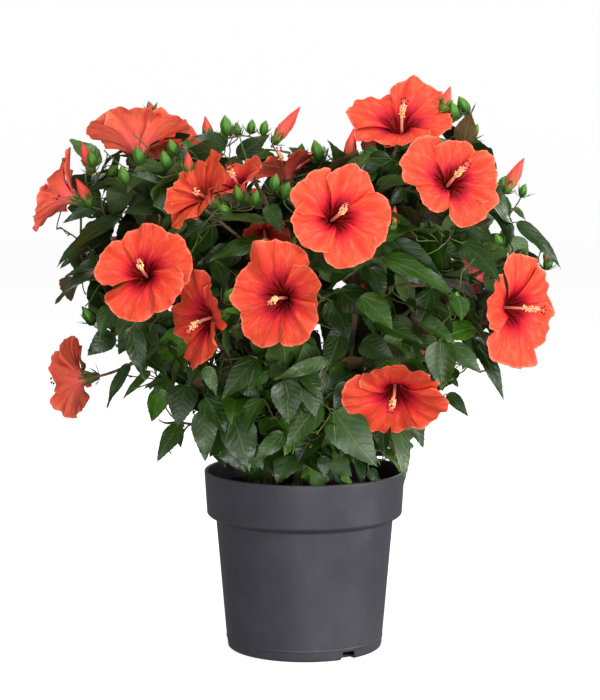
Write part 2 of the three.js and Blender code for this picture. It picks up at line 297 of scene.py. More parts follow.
def petal_material(name, cell, throat=1.0, warm=0.0, streak=0.0, back=False, flesh=(0.71, 0.069, 0.027)):
    m = Mat(name)
    u, v = m.uv(cell)
    s = m.math("MULTIPLY_ADD", u, 2.0, -1.0)
    rays = m.noise(m.vec(m.math("MULTIPLY", s, 10.0), m.math("MULTIPLY", v, 0.9)), 1.6, 4.0, 0.65, 0.2)
    fine = m.noise(m.vec(m.math("MULTIPLY", s, 13.0), m.math("MULTIPLY", v, 1.1)), 1.5, 3.0, 0.62, 0.12)
    soft = m.noise(m.vec(s, v), 2.2, 2.0, 0.5)
    crimp = m.noise(m.vec(m.math("MULTIPLY", s, 3.4), m.math("MULTIPLY", v, 3.0)), 1.6, 3.0, 0.55, 0.4)
    vv = m.math("ADD", v, m.math("MULTIPLY_ADD", rays, m.step(v, 0.85, 0.5, 0.0, -0.42), m.step(v, 0.85, 0.5, 0.0, 0.21)))
    if back:
        # the backs are paler coral with a pink foot, and painted brighter than the faces: painted light that stands in
        # for light shining through the thin petal
        body = m.ramp(
            vv,
            [
                (0.0, (0.78, 0.34, 0.20)),
                (0.16, (0.90, 0.20, 0.17)),
                (0.34, (0.94, 0.14, 0.13)),
                (0.6, (0.96, 0.15, 0.09)),
                (0.93, (0.96, 0.16, 0.09)),
                (1.0, (0.97, 0.24, 0.15)),
            ],
        )
    else:
        k = throat
        # the stops inside the throat run down to near black: partly the eye's own dark crimson, partly painted shade of
        # the deep funnel
        body = m.ramp(
            vv,
            [
                (0.0, (0.004, 0.0002, 0.0006)),
                (0.24 * k, (0.012, 0.0003, 0.0008)),
                (0.34 * k, (0.040, 0.0005, 0.003)),
                (0.41 * k, (0.13, 0.0008, 0.010)),
                (0.46 * k, (0.32, 0.002, 0.024)),
                (0.52 * k, (0.60, 0.014, 0.028)),
                (0.63 * k, (flesh[0] * 0.97, flesh[1] * 0.58, flesh[2] * 0.88)),
                (0.80, flesh),
                (0.955, (flesh[0], flesh[1] * 1.12, flesh[2] * 1.15)),
                (1.0, (flesh[0] * 1.25, flesh[1] * 3.2, flesh[2] * 4.5)),
            ],
        )
    # fine lines fan out from the claw and fade towards the margin
    line = m.math("MULTIPLY", m.step(fine, 0.50, 0.60), m.step(v, 1.02, 0.25, 0.45, 1.0))
    dark = (0.50, 0.016, 0.013) if not back else (0.60, 0.040, 0.040)
    c = m.mix(m.math("MULTIPLY", line, 0.80 if not back else 0.7), body, dark)
    if not back:
        pale = m.math("MULTIPLY", m.step(rays, 0.56, 0.74), m.math("MULTIPLY", m.step(v, 0.24, 0.40), m.step(v, 0.66, 0.46)))
        c = m.mix(m.math("MULTIPLY", pale, 0.12 + 0.5 * streak), c, (0.95, 0.30, 0.26))
    if warm:
        c = m.mix(m.math("MULTIPLY", m.step(soft, 0.35, 0.7), warm), c, (0.95, 0.20, 0.035))
    # painted highlight and painted shade on the crinkles: the crinkle noise that raises the bump also paints paler
    # coral on the ridges and deep red in the hollows
    out = m.step(v, 0.50, 0.66)
    c = m.mix(m.math("MULTIPLY", m.math("MULTIPLY", m.step(crimp, 0.46, 0.72), out), 0.42), c, (0.78, 0.18, 0.11))
    c = m.mix(m.math("MULTIPLY", m.math("MULTIPLY", m.step(crimp, 0.50, 0.32), out), 0.50), c, (0.66, 0.030, 0.014))
    c = m.mix(m.math("MULTIPLY", m.step(soft, 0.62, 0.35), 0.16), c, (0.70, 0.040, 0.022))
    m.set(Base_Color=c)
    m.set(Roughness=m.step(fine, 0.2, 0.8, 0.50, 0.62))
    m.bump(m.math("ADD", m.math("MULTIPLY", crimp, 1.3), m.math("ADD", m.math("MULTIPLY", rays, 0.8), m.math("MULTIPLY", fine, 0.5))), 0.6, 0.0015)
    m.set(Specular_IOR_Level=m.step(v, 0.38, 0.60, 0.0, 0.14) if not back else 0.12)
    return m.mat


def tube_material(name, cell, stops, rough=0.5, grain=20.0, relief=0.4, spot=None, spec=0.4):
    """A colour that runs along v, with a fine grain: for stalks, buds, columns."""
    m = Mat(name)
    u, v = m.uv(cell)
    wob = m.noise(m.vec(m.math("MULTIPLY", u, 6.0), v), 3.0, 3.0, 0.6)
    n = m.noise(m.vec(m.math("MULTIPLY", u, grain), m.math("MULTIPLY", v, grain * 0.25)), 1.0, 2.0, 0.6)
    c = m.ramp(m.math("ADD", v, m.math("MULTIPLY_ADD", wob, 0.2, -0.1)), stops)
    if spot:
        c = m.mix(m.math("MULTIPLY", m.step(n, 0.5, 0.7), 0.6), c, spot)
    else:
        c = m.mix(m.math("MULTIPLY", m.step(n, 0.3, 0.8), 0.3), c, (0.02, 0.02, 0.01), "MULTIPLY")
    m.set(Base_Color=c, Roughness=m.step(n, 0.2, 0.8, rough - 0.06, rough + 0.1), Specular_IOR_Level=spec)
    m.bump(n, relief, 0.0006)
    return m.mat


# ------------------------------------------------------------------ grids of triangles
def grid_faces(rows, cols, flip=False, wrap=False):
    """Triangles over a rows x cols grid of indices."""
    r = np.arange(rows - 1)[:, None]
    n = cols if wrap else cols - 1
    c = np.arange(n)[None, :]
    a = r * cols + c
    b = r * cols + (c + 1) % cols
    d = a + cols
    e = (r + 1) * cols + (c + 1) % cols
    a, b, d, e = [x.ravel() for x in np.broadcast_arrays(a, b, d, e)]
    F = np.concatenate([np.stack([a, b, e], 1), np.stack([a, e, d], 1)])
    return F[:, ::-1] if flip else F


# ------------------------------------------------------------------ leaf template
def leaf_width(t, w=0.312):
    return w * np.sin(np.pi * np.clip(t, 0, 1) ** 0.60) ** 0.88 * (1 - 0.26 * t**2) + 0.006


def leaf_rows(teeth=6):
    rows = [(0.0, 0.0), (0.035, 0.0), (0.10, 0.0), (0.175, 0.0)]
    start, end = 0.30, 0.95
    pitch = (end - start) / teeth
    for k in range(teeth):
        a = start + k * pitch
        size = (0.009, 0.005, 0.012, 0.005, 0.010, 0.005)[k % 6]
        rows.append((a, -0.004))
        rows.append((a + 0.66 * pitch, size))
    rows.append((end, -0.004))
    return rows


LEAF_ROWS = leaf_rows()
LEAF_COLS = np.array([-1, -0.55, 0, 0.55, 1.0])
_nr, _nc = len(LEAF_ROWS), len(LEAF_COLS)
_T = np.array([r[0] for r in LEAF_ROWS])[:, None] * np.ones(_nc)
_tooth = np.array([r[1] for r in LEAF_ROWS])[:, None] * (np.abs(LEAF_COLS) > 0.9)
_W = leaf_width(_T)
_W[0] = 0.02
_X = LEAF_COLS * _W + np.sign(LEAF_COLS) * _tooth
_TT = _T + np.abs(_tooth) * 0.5 * (_tooth > 0)
# top sheet, tip, then the inner points of the under sheet
LX = np.concatenate([_X.ravel(), [0.0]])
LT = np.concatenate([_TT.ravel(), [1.0]])
LS = np.concatenate([(LEAF_COLS * np.ones((_nr, 1))).ravel(), [0.0]])
_tip = _nr * _nc
_inner = np.array([r * _nc + c for r in range(1, _nr) for c in range(1, _nc - 1)])
_under = {int(i): _tip + 1 + k for k, i in enumerate(_inner)}
L_ALLX = np.concatenate([LX, LX[_inner]])
L_ALLT = np.concatenate([LT, LT[_inner]])
L_ALLS = np.concatenate([LS, LS[_inner]])
L_DOWN = np.concatenate([np.zeros(len(LX)), np.ones(len(_inner))])
_ft = grid_faces(_nr, _nc)
_ft = np.concatenate([_ft, [[(_nr - 1) * _nc + c, (_nr - 1) * _nc + c + 1, _tip] for c in range(_nc - 1)]])
_fb = np.vectorize(lambda i: _under.get(int(i), int(i)))(_ft)[:, ::-1]
L_F = np.concatenate([_ft, _fb])
L_TOP = np.concatenate([np.ones(len(_ft), bool), np.zeros(len(_fb), bool)])
L_RIM = np.zeros(len(L_ALLX), bool)
for _r in range(_nr):
    L_RIM[_r * _nc] = L_RIM[_r * _nc + _nc - 1] = True
L_RIM[_tip] = True
L_RIM[0:_nc] = True


def leaves(bag, P, D, N, L, rng, kinds, width=None, droop=None, fold=None, twist=None):
    """Adds one leaf at each base point P, along D, facing N, of length L. kinds picks its colour."""
    n = len(P)
    if not n:
        return
    X, Y, Z = None, unit(D), None
    N = N - (N * Y).sum(1, keepdims=True) * Y
    Z = unit(N)
    X = np.cross(Y, Z)
    width = rng.uniform(0.88, 1.12, n) if width is None else width
    droop = rng.uniform(0.15, 1.05, n) if droop is None else droop
    fold = rng.uniform(0.05, 0.45, n) if fold is None else fold
    curl = rng.uniform(-0.25, 0.65, n)
    wave = rng.uniform(0.006, 0.028, n)
    ph = rng.uniform(0, TAU, n)
    side = rng.uniform(-0.22, 0.22, n)  # sideways sweep of the blade
    tw = rng.uniform(-0.5, 0.5, n) if twist is None else twist
    x = L_ALLX[None] * width[:, None]
    t = L_ALLT[None] * np.ones((n, 1))
    s = L_ALLS[None]
    w = leaf_width(t)
    z = np.abs(x) * np.tan(fold)[:, None] - curl[:, None] * x * x * 1.4
    z = z + wave[:, None] * np.sin(TAU * 1.9 * t + ph[:, None] + 1.3 * s) * s * s
    z = z - L_DOWN[None] * (0.00045 / L[:, None])
    # twist about the midrib, more towards the tip
    a = tw[:, None] * t * t
    x, z = x * np.cos(a) - z * np.sin(a), x * np.sin(a) + z * np.cos(a)
    k = np.maximum(droop, 0.02)[:, None]
    # gentle at the base, stronger near the tip
    y0 = np.sin(k * t) / k
    z0 = -(1 - np.cos(k * t)) / k
    yy = y0 + z * np.sin(k * t)
    zz = z0 + z * np.cos(k * t)
    xx = x + side[:, None] * t * t * 0.5
    V = P[:, None] + L[:, None, None] * (xx[..., None] * X[:, None] + yy[..., None] * Y[:, None] + zz[..., None] * Z[:, None])
    U = np.empty((n, len(L_F), 3, 2))
    M = np.empty((n, len(L_F)), int)
    pu = 0.5 + L_ALLX / 0.92
    pv = (L_ALLT + 0.02) / 1.04
    for kind in np.unique(kinds):
        top, low = LEAF_KINDS[kind]
        pick = kinds == kind
        uvt = cell_uv(pu[L_F[L_TOP]], pv[L_F[L_TOP]], top)
        uvb = cell_uv(pu[L_F[~L_TOP]], pv[L_F[~L_TOP]], low)
        U[pick] = np.concatenate([uvt, uvb])[None]
        M[pick] = np.concatenate([np.full(len(uvt), top), np.full(len(uvb), low)])[None]
    bag.many(V, L_F, U, M, L_RIM)


# ------------------------------------------------------------------ tubes
def tube(bag, pts, radii, sides, cell, mat, cap=True, vrange=(0, 1), squash=None):
    pts = np.asarray(pts, float)
    n = len(pts)
    tan = np.gradient(pts, axis=0)
    tan = unit(tan)
    ref = np.array([0.0, 0, 1]) if abs(tan[0, 2]) < 0.9 else np.array([1.0, 0, 0])
    a = unit(np.cross(ref, tan[0]))
    A = []
    for i in range(n):
        a = unit(a - (a @ tan[i]) * tan[i])
        A.append(a)
    A = np.array(A)
    B = np.cross(tan, A)
    ang = np.arange(sides) / sides * TAU
    ring = A[:, None] * np.cos(ang)[None, :, None] + B[:, None] * np.sin(ang)[None, :, None]
    V = pts[:, None] + ring * np.asarray(radii)[:, None, None] if np.ndim(radii) == 1 else pts[:, None] + ring * np.asarray(radii)[..., None]
    V = V.reshape(-1, 3)
    r = np.arange(n - 1)[:, None]
    c = np.arange(sides)[None]
    q = [r * sides + c, r * sides + (c + 1) % sides, (r + 1) * sides + (c + 1) % sides, (r + 1) * sides + c]
    q = [x.ravel() for x in np.broadcast_arrays(*q)]
    F = np.concatenate([np.stack([q[0], q[1], q[2]], 1), np.stack([q[0], q[2], q[3]], 1)])
    cu = np.broadcast_to(c, (n - 1, sides)).ravel()
    ru = np.broadcast_to(r, (n - 1, sides)).ravel()
    u0, u1 = cu / sides, (cu + 1) / sides
    v0 = lerp(vrange[0], vrange[1], ru / (n - 1))
    v1 = lerp(vrange[0], vrange[1], (ru + 1) / (n - 1))
    UV = np.concatenate(
        [
            np.stack([np.stack([u0, v0], 1), np.stack([u1, v0], 1), np.stack([u1, v1], 1)], 1),
            np.stack([np.stack([u0, v0], 1), np.stack([u1, v1], 1), np.stack([u0, v1], 1)], 1),
        ]
    )
    if cap:
        k = len(V)
        V = np.concatenate([V, [pts[0] - tan[0] * radii_at(radii, 0) * 0.15], [pts[-1] + tan[-1] * radii_at(radii, -1) * 0.4]])
        i = np.arange(sides)
        j = (i + 1) % sides
        f0 = np.stack([np.full(sides, k), j, i], 1)
        f1 = np.stack([np.full(sides, k + 1), (n - 1) * sides + i, (n - 1) * sides + j], 1)
        F = np.concatenate([F, f0, f1])
        e0 = np.stack([np.stack([(i + 0.5) / sides, i * 0 + vrange[0]], 1), np.stack([(i + 1) / sides, i * 0 + vrange[0] + 0.01], 1), np.stack([i / sides, i * 0 + vrange[0] + 0.01], 1)], 1)
        e1 = np.stack([np.stack([(i + 0.5) / sides, i * 0 + vrange[1]], 1), np.stack([i / sides, i * 0 + vrange[1] - 0.01], 1), np.stack([(i + 1) / sides, i * 0 + vrange[1] - 0.01], 1)], 1)
        UV = np.concatenate([UV, e0, e1])
    bag.add(V, F, cell_uv(UV[..., 0], UV[..., 1], cell), mat)


def radii_at(radii, i):
    r = np.asarray(radii)
    return float(r[i]) if r.ndim == 1 else float(r[i].mean())


def bezier(p0, p1, p2, n):
    t = np.linspace(0, 1, n)[:, None]
    return (1 - t) ** 2 * p0 + 2 * t * (1 - t) * p1 + t * t * p2


def bezier3(p0, p1, p2, p3, n):
    t = np.linspace(0, 1, n)[:, None]
    return (1 - t) ** 3 * p0 + 3 * t * (1 - t) ** 2 * p1 + 3 * t * t * (1 - t) * p2 + t**3 * p3


# ------------------------------------------------------------------ the stems and boughs of the CAD
SOIL_Z = 0.191
STEMS = {
    "left_front": ((-52, -24), (-78, -30, 318), 5.2, (-6, -4)),
    "left_back": ((-44, 12), (-66, 34, 352), 5.0, (6, 5)),
    "centre_front": ((-10, -28), (-16, -34, 376), 4.8, (5, -3)),
    "right_front": ((45, -20), (60, -28, 412), 5.4, (-5, 2)),
    "right_back": ((40, 22), (72, 34, 336), 4.8, (4, -5)),
    "back": ((-4, 40), (6, 52, 384), 5.0, (-7, 2)),
}
BOUGHS = [
    ("bough_lower_left", "left_front", "foliage_lower_left", 2.9, 20),
    ("bough_left_mid", "left_front", "foliage_left_mid", 3.1, 34),
    ("bough_centre_left", "left_front", "foliage_centre_left", 2.7, 20),
    ("bough_far_left", "left_back", "foliage_left_outer_low", 3.1, 26),
    ("bough_back_left", "left_back", "foliage_back_left", 3.0, 24),
    ("bough_top_left", "left_back", "foliage_top_left", 3.2, 60),
    ("bough_centre", "centre_front", "foliage_centre", 2.8, 20),
    ("bough_upper_left", "centre_front", "foliage_upper_left_inner", 3.0, 48),
    ("bough_top_centre", "centre_front", "foliage_upper_centre_left", 3.1, 60),
    ("bough_centre_upper", "right_front", "foliage_centre_upper", 2.9, 26),
    ("bough_right_inner", "right_front", "foliage_right_inner", 2.8, 14),
    ("bough_top_right", "right_front", "foliage_top_right", 3.3, 60),
    ("bough_right", "right_back", "foliage_right_lower", 3.1, 22),
    ("bough_back_right", "right_back", "foliage_back_right", 3.0, 26),
    ("bough_lower_right", "right_back", "foliage_lower_right", 2.5, 6),
    ("bough_back_centre", "back", "foliage_back_centre", 2.9, 18),
    ("bough_back_low_right", "back", "foliage_back_mid_right", 2.8, 10),
    ("bough_back_top", "back", "foliage_back_top_centre", 3.1, 50),
]


def node_centre(name):
    lo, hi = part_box(name)
    return (np.array(lo) + np.array(hi)) / 2


def catmull(points, n, alpha=0.5):
    """Centripetal Catmull-Rom through the points."""
    P = [np.array(p, float) for p in points]
    P = [2 * P[0] - P[1]] + P + [2 * P[-1] - P[-2]]
    out = []
    for i in range(1, len(P) - 2):
        p0, p1, p2, p3 = P[i - 1 : i + 3]
        t0 = 0.0
        t1 = t0 + np.linalg.norm(p1 - p0) ** alpha
        t2 = t1 + np.linalg.norm(p2 - p1) ** alpha
        t3 = t2 + np.linalg.norm(p3 - p2) ** alpha
        for t in np.linspace(t1, t2, n, endpoint=i == len(P) - 3):
            a1 = (t1 - t) / (t1 - t0) * p0 + (t - t0) / (t1 - t0) * p1
            a2 = (t2 - t) / (t2 - t1) * p1 + (t - t1) / (t2 - t1) * p2
            a3 = (t3 - t) / (t3 - t2) * p2 + (t - t2) / (t3 - t2) * p3
            b1 = (t2 - t) / (t2 - t0) * a1 + (t - t0) / (t2 - t0) * a2
            b2 = (t3 - t) / (t3 - t1) * a2 + (t - t1) / (t3 - t1) * a3
            out.append((t2 - t) / (t2 - t1) * b1 + (t - t1) / (t2 - t1) * b2)
    return np.array(out)


def stem_curve(name):
    foot, fork, r, bow = STEMS[name]
    z0 = SOIL_Z * 1000 - 8

    def mid(k):
        x, y = (foot[i] + (fork[i] - foot[i]) * k + bow[i] * math.sin(math.pi * k) for i in (0, 1))
        return (x, y, z0 + (fork[2] - z0) * k)

    pts = catmull([(*foot, z0), mid(0.2), mid(0.5), mid(0.8), fork], 14) / 1000
    t = np.linspace(0, 1, len(pts))
    rad = r / 1000 * (1 - 0.34 * t + 0.45 * np.exp(-t / 0.05))
    return pts, rad


STEM_CURVES = {k: stem_curve(k) for k in STEMS}


def bough_curve(stem, target, r, climb):
    pts, _ = STEM_CURVES[stem]
    tan = unit(pts[-1] - pts[-2])
    start = pts[-1] + tan * 0.0002
    out = target - start
    up = np.array([0, 0, 1.0])
    cl = climb / 1000
    cv = catmull([start, start + up * cl * 0.5 + out * 0.12, start + up * cl * 0.8 + out * 0.4, target], 12)
    t = np.linspace(0, 1, len(cv))
    return cv, r / 1000 * (1 - 0.45 * t)


BOUGH_CURVES = []
for _name, _stem, _mass, _r, _climb in BOUGHS:
    BOUGH_CURVES.append((_name, *bough_curve(_stem, node_centre(_mass), _r, _climb)))
_a, _b = node_centre("foliage_lower_left"), node_centre("foliage_left_outlier")
_m = lerp(_a, _b, 0.55) + np.array([0, 0, -0.014])
_cv = bezier(_a, _m, _b, 14)
BOUGH_CURVES.append(("bough_left_outlier", _cv, 0.0019 * (1 - 0.3 * np.linspace(0, 1, 14))))

MASSES = sorted(n for n in NODES if n.startswith("foliage_"))

# ------------------------------------------------------------------ the shape of the crown
MASS = {}
for _n in MASSES:
    _lo, _hi = (np.array(v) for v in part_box(_n))
    _me = NODES[_n].data
    MASS[_n] = dict(
        c=(_lo + _hi) / 2,
        h=(_hi - _lo) / 2,
        bvh=BVHTree.FromPolygons([v.co for v in _me.vertices], [tuple(p.vertices) for p in _me.polygons]),
    )
MC = np.array([MASS[n]["c"] for n in MASSES])
MH = np.array([MASS[n]["h"] for n in MASSES])


def depth_in(p, skip=None):
    """0 at the centre of the nearest mass, 1 at its surface, more outside, for points (n, 3)."""
    f = np.linalg.norm((np.atleast_2d(p)[:, None] - MC[None]) / MH[None], axis=2)
    if skip is not None:
        f[:, MASSES.index(skip)] = 9
    return f.min(1)


# name, centre of the disc, way it faces, radius, petal angles and lengths, centre to the tip of the column, how far open
BLOOMS = [
    ("b1", (-0.181, -0.160, 0.464), (-0.20, -0.91, 0.36), 0.0564, (86, 24, -38, -104, 172), (1.0, 1.08, 1.0, 1.08, 0.98), (-0.002, -0.032, 0.0145), 1.0),
    ("b2", (-0.0275, -0.192, 0.439), (-0.36, -0.93, 0.10), 0.0600, (92, 20, -50, -118, 164), (1.12, 0.94, 1.0, 1.02, 0.95), (-0.010, -0.034, -0.002), 1.0),
    ("b3", (0.036, -0.172, 0.527), (0.33, -0.90, 0.27), 0.0615, (-11, 62, 133, 206, 277), (1.02, 1.0, 1.04, 0.98, 1.0), (0.009, -0.034, 0.014), 1.0),
    ("b4", (0.111, -0.060, 0.626), (-0.10, -0.62, 0.78), 0.0650, (66, 4, 288, 222, 150), (1.08, 0.96, 0.78, 0.95, 1.04), (0.002, -0.028, 0.025), 1.0),
    ("b5", (0.165, -0.110, 0.563), (0.16, -0.92, 0.36), 0.0540, (144, 76, 6, -54, 214), (1.2, 0.95, 1.04, 1.1, 0.86), (0.0145, -0.034, 0.019), 1.0),
    ("b6", (0.245, -0.055, 0.414), (0.66, -0.75, 0.04), 0.0690, (75, 18, -38, 258, 168), (1.02, 1.0, 0.9, 1.08, 0.9), (0.027, -0.023, 0.000), 1.0),
    ("b7", (0.101, -0.160, 0.327), (-0.06, -0.82, -0.57), 0.0600, (186, 264, -18, 50, 118), (1.06, 0.92, 1.06, 0.98, 0.86), (-0.0045, -0.034, -0.011), 1.0),
    ("b8", (-0.112, -0.150, 0.412), (-0.84, -0.54, -0.05), 0.0560, (118, 190, 250, 310, 30), (1.05, 0.95, 1.08, 0.92, 0.9), (-0.016, -0.030, -0.010), 0.92),
    ("b9", (-0.117, -0.130, 0.550), (-0.68, -0.52, 0.52), 0.0470, (60, 140, 205, 262, 330), (1.1, 0.9, 1.0, 1.05, 0.9), (-0.004, -0.033, 0.004), 0.82),
    ("b10", (-0.194, -0.024, 0.606), (-0.05, 0.55, 0.83), 0.0600, (10, 80, 152, 220, 290), (1.05, 1.0, 1.04, 0.98, 0.98), (0.010, 0.008, 0.020), 0.82),
    ("b11", (-0.285, 0.000, 0.544), (-0.88, 0.26, 0.40), 0.0500, (45, 110, 180, 262, 330), (1.0, 1.08, 0.95, 1.12, 0.95), (-0.008, -0.012, 0.000), 0.74),
    ("b12", (-0.272, 0.005, 0.324), (-0.90, 0.40, -0.10), 0.0480, (20, 92, 160, 230, 300), (1.0, 1.08, 1.0, 1.02, 1.05), (-0.026, 0.012, -0.004), 0.85),
    ("b14", (-0.024, -0.010, 0.572), (-0.25, 0.20, 0.93), 0.0550, (33, 105, 177, 249, 321), (1.0, 1.05, 1.0, 0.95, 1.0), (-0.006, 0.010, 0.020), 0.9),
    ("b13", (-0.078, -0.060, 0.558), (-0.50, -0.30, 0.80), 0.0400, (10, 82, 154, 226, 298), (1.0, 1.0, 1.0, 1.0, 1.0), (-0.008, -0.014, 0.018), 0.75),
    ("b15", (-0.046, -0.050, 0.500), (0.11, -0.70, -0.63), 0.0300, (5, 77, 149, 221, 293), (1.0, 1.0, 1.0, 1.0, 1.0), (0.000, -0.020, -0.010), 0.85),
]
_extra = [
    ((-0.150, 0.190, 0.570), (-0.2, 0.85, 0.4), 0.054),
    ((-0.060, 0.248, 0.480), (0, 1, 0.1), 0.058),
    ((0.090, 0.248, 0.450), (0.2, 0.95, 0.1), 0.055),
    ((0.222, 0.190, 0.430), (0.7, 0.7, 0.1), 0.055),
    ((-0.222, 0.198, 0.430), (-0.7, 0.7, 0.1), 0.055),
    ((0.118, 0.160, 0.592), (0.1, 0.6, 0.75), 0.053),
    ((0.120, 0.215, 0.330), (0.1, 0.9, -0.3), 0.052),
]
for _i, (_c, _f, _r) in enumerate(_extra):
    _f3 = np.array(_f) / np.linalg.norm(_f)
    _turn = [17 * _i + 72 * _k + (7, -5, 3, -8, 4)[(_k + _i) % 5] for _k in range(5)]
    _long = [(1.0, 1.06, 0.95, 1.03, 0.98)[(_k + 2 * _i) % 5] for _k in range(5)]
    BLOOMS.append((f"back{_i + 1}", _c, _f, _r, _turn, _long, tuple(_f3 * 0.034 + np.array([0.004 * (-1) ** _i, 0, 0.006])), 1.0))

BUDS = {
    "coral": [
        ((-0.036, -0.030, 0.605), (-0.005, -0.034, 0.647)),
        ((0.049, -0.075, 0.577), (0.056, -0.079, 0.623)),
        ((0.234, -0.040, 0.548), (0.255, -0.044, 0.588)),
        ((0.159, -0.050, 0.641), (0.168, -0.054, 0.671)),
        ((-0.180, -0.020, 0.634), (-0.180, -0.024, 0.652)),
        ((-0.250, -0.010, 0.570), (-0.262, -0.014, 0.605)),
        ((-0.251, -0.010, 0.531), (-0.269, -0.014, 0.563)),
        ((0.098, -0.120, 0.507), (0.102, -0.124, 0.536)),
        ((0.288, 0.0, 0.456), (0.292, -0.004, 0.482)),
        ((-0.131, -0.100, 0.567), (-0.133, -0.104, 0.597)),
        ((-0.120, 0.200, 0.600), (-0.126, 0.215, 0.632)),
        ((0.190, 0.170, 0.580), (0.202, 0.186, 0.606)),
    ],
    "green": [
        ((-0.089, -0.030, 0.608), (-0.093, -0.034, 0.637)),
        ((-0.079, 0.020, 0.607), (-0.081, 0.016, 0.628)),
        ((-0.064, -0.010, 0.612), (-0.061, -0.014, 0.632)),
        ((-0.050, -0.020, 0.610), (-0.045, -0.024, 0.631)),
        ((0.020, -0.040, 0.579), (0.011, -0.044, 0.609)),
        ((-0.190, -0.060, 0.577), (-0.193, -0.064, 0.602)),
        ((-0.246, -0.030, 0.573), (-0.250, -0.034, 0.597)),
        ((-0.204, -0.070, 0.554), (-0.211, -0.074, 0.580)),
        ((-0.157, -0.070, 0.573), (-0.163, -0.074, 0.597)),
        ((-0.150, -0.050, 0.588), (-0.156, -0.054, 0.610)),
        ((-0.037, -0.100, 0.548), (-0.032, -0.104, 0.572)),
        ((-0.025, -0.110, 0.540), (-0.018, -0.114, 0.563)),
        ((-0.081, -0.130, 0.527), (-0.099, -0.134, 0.538)),
        ((-0.093, -0.160, 0.429), (-0.077, -0.164, 0.447)),
        ((0.175, -0.050, 0.629), (0.170, -0.054, 0.653)),
        ((0.190, -0.040, 0.606), (0.201, -0.044, 0.627)),
        ((0.253, -0.020, 0.538), (0.259, -0.024, 0.557)),
        ((0.229, -0.060, 0.484), (0.221, -0.064, 0.501)),
        ((0.170, -0.140, 0.411), (0.171, -0.144, 0.441)),
        ((-0.249, -0.040, 0.392), (-0.259, -0.044, 0.413)),
        ((-0.233, -0.020, 0.564), (-0.218, -0.024, 0.579)),
        ((-0.074, -0.100, 0.536), (-0.078, -0.104, 0.559)),
        ((-0.058, -0.110, 0.533), (-0.054, -0.114, 0.554)),
        ((-0.005, 0.020, 0.583), (-0.003, 0.016, 0.603)),
        ((0.193, -0.020, 0.634), (0.180, -0.024, 0.659)),
        ((0.203, -0.030, 0.543), (0.209, -0.034, 0.564)),
        ((-0.100, 0.205, 0.590), (-0.106, 0.214, 0.614)),
        ((0.020, 0.200, 0.570), (0.024, 0.212, 0.592)),
        ((0.240, 0.120, 0.540), (0.250, 0.130, 0.560)),
        ((-0.250, 0.110, 0.530), (-0.264, 0.118, 0.548)),
    ],
}

EYE = np.array([-0.0054, -2.7633, 0.6803])

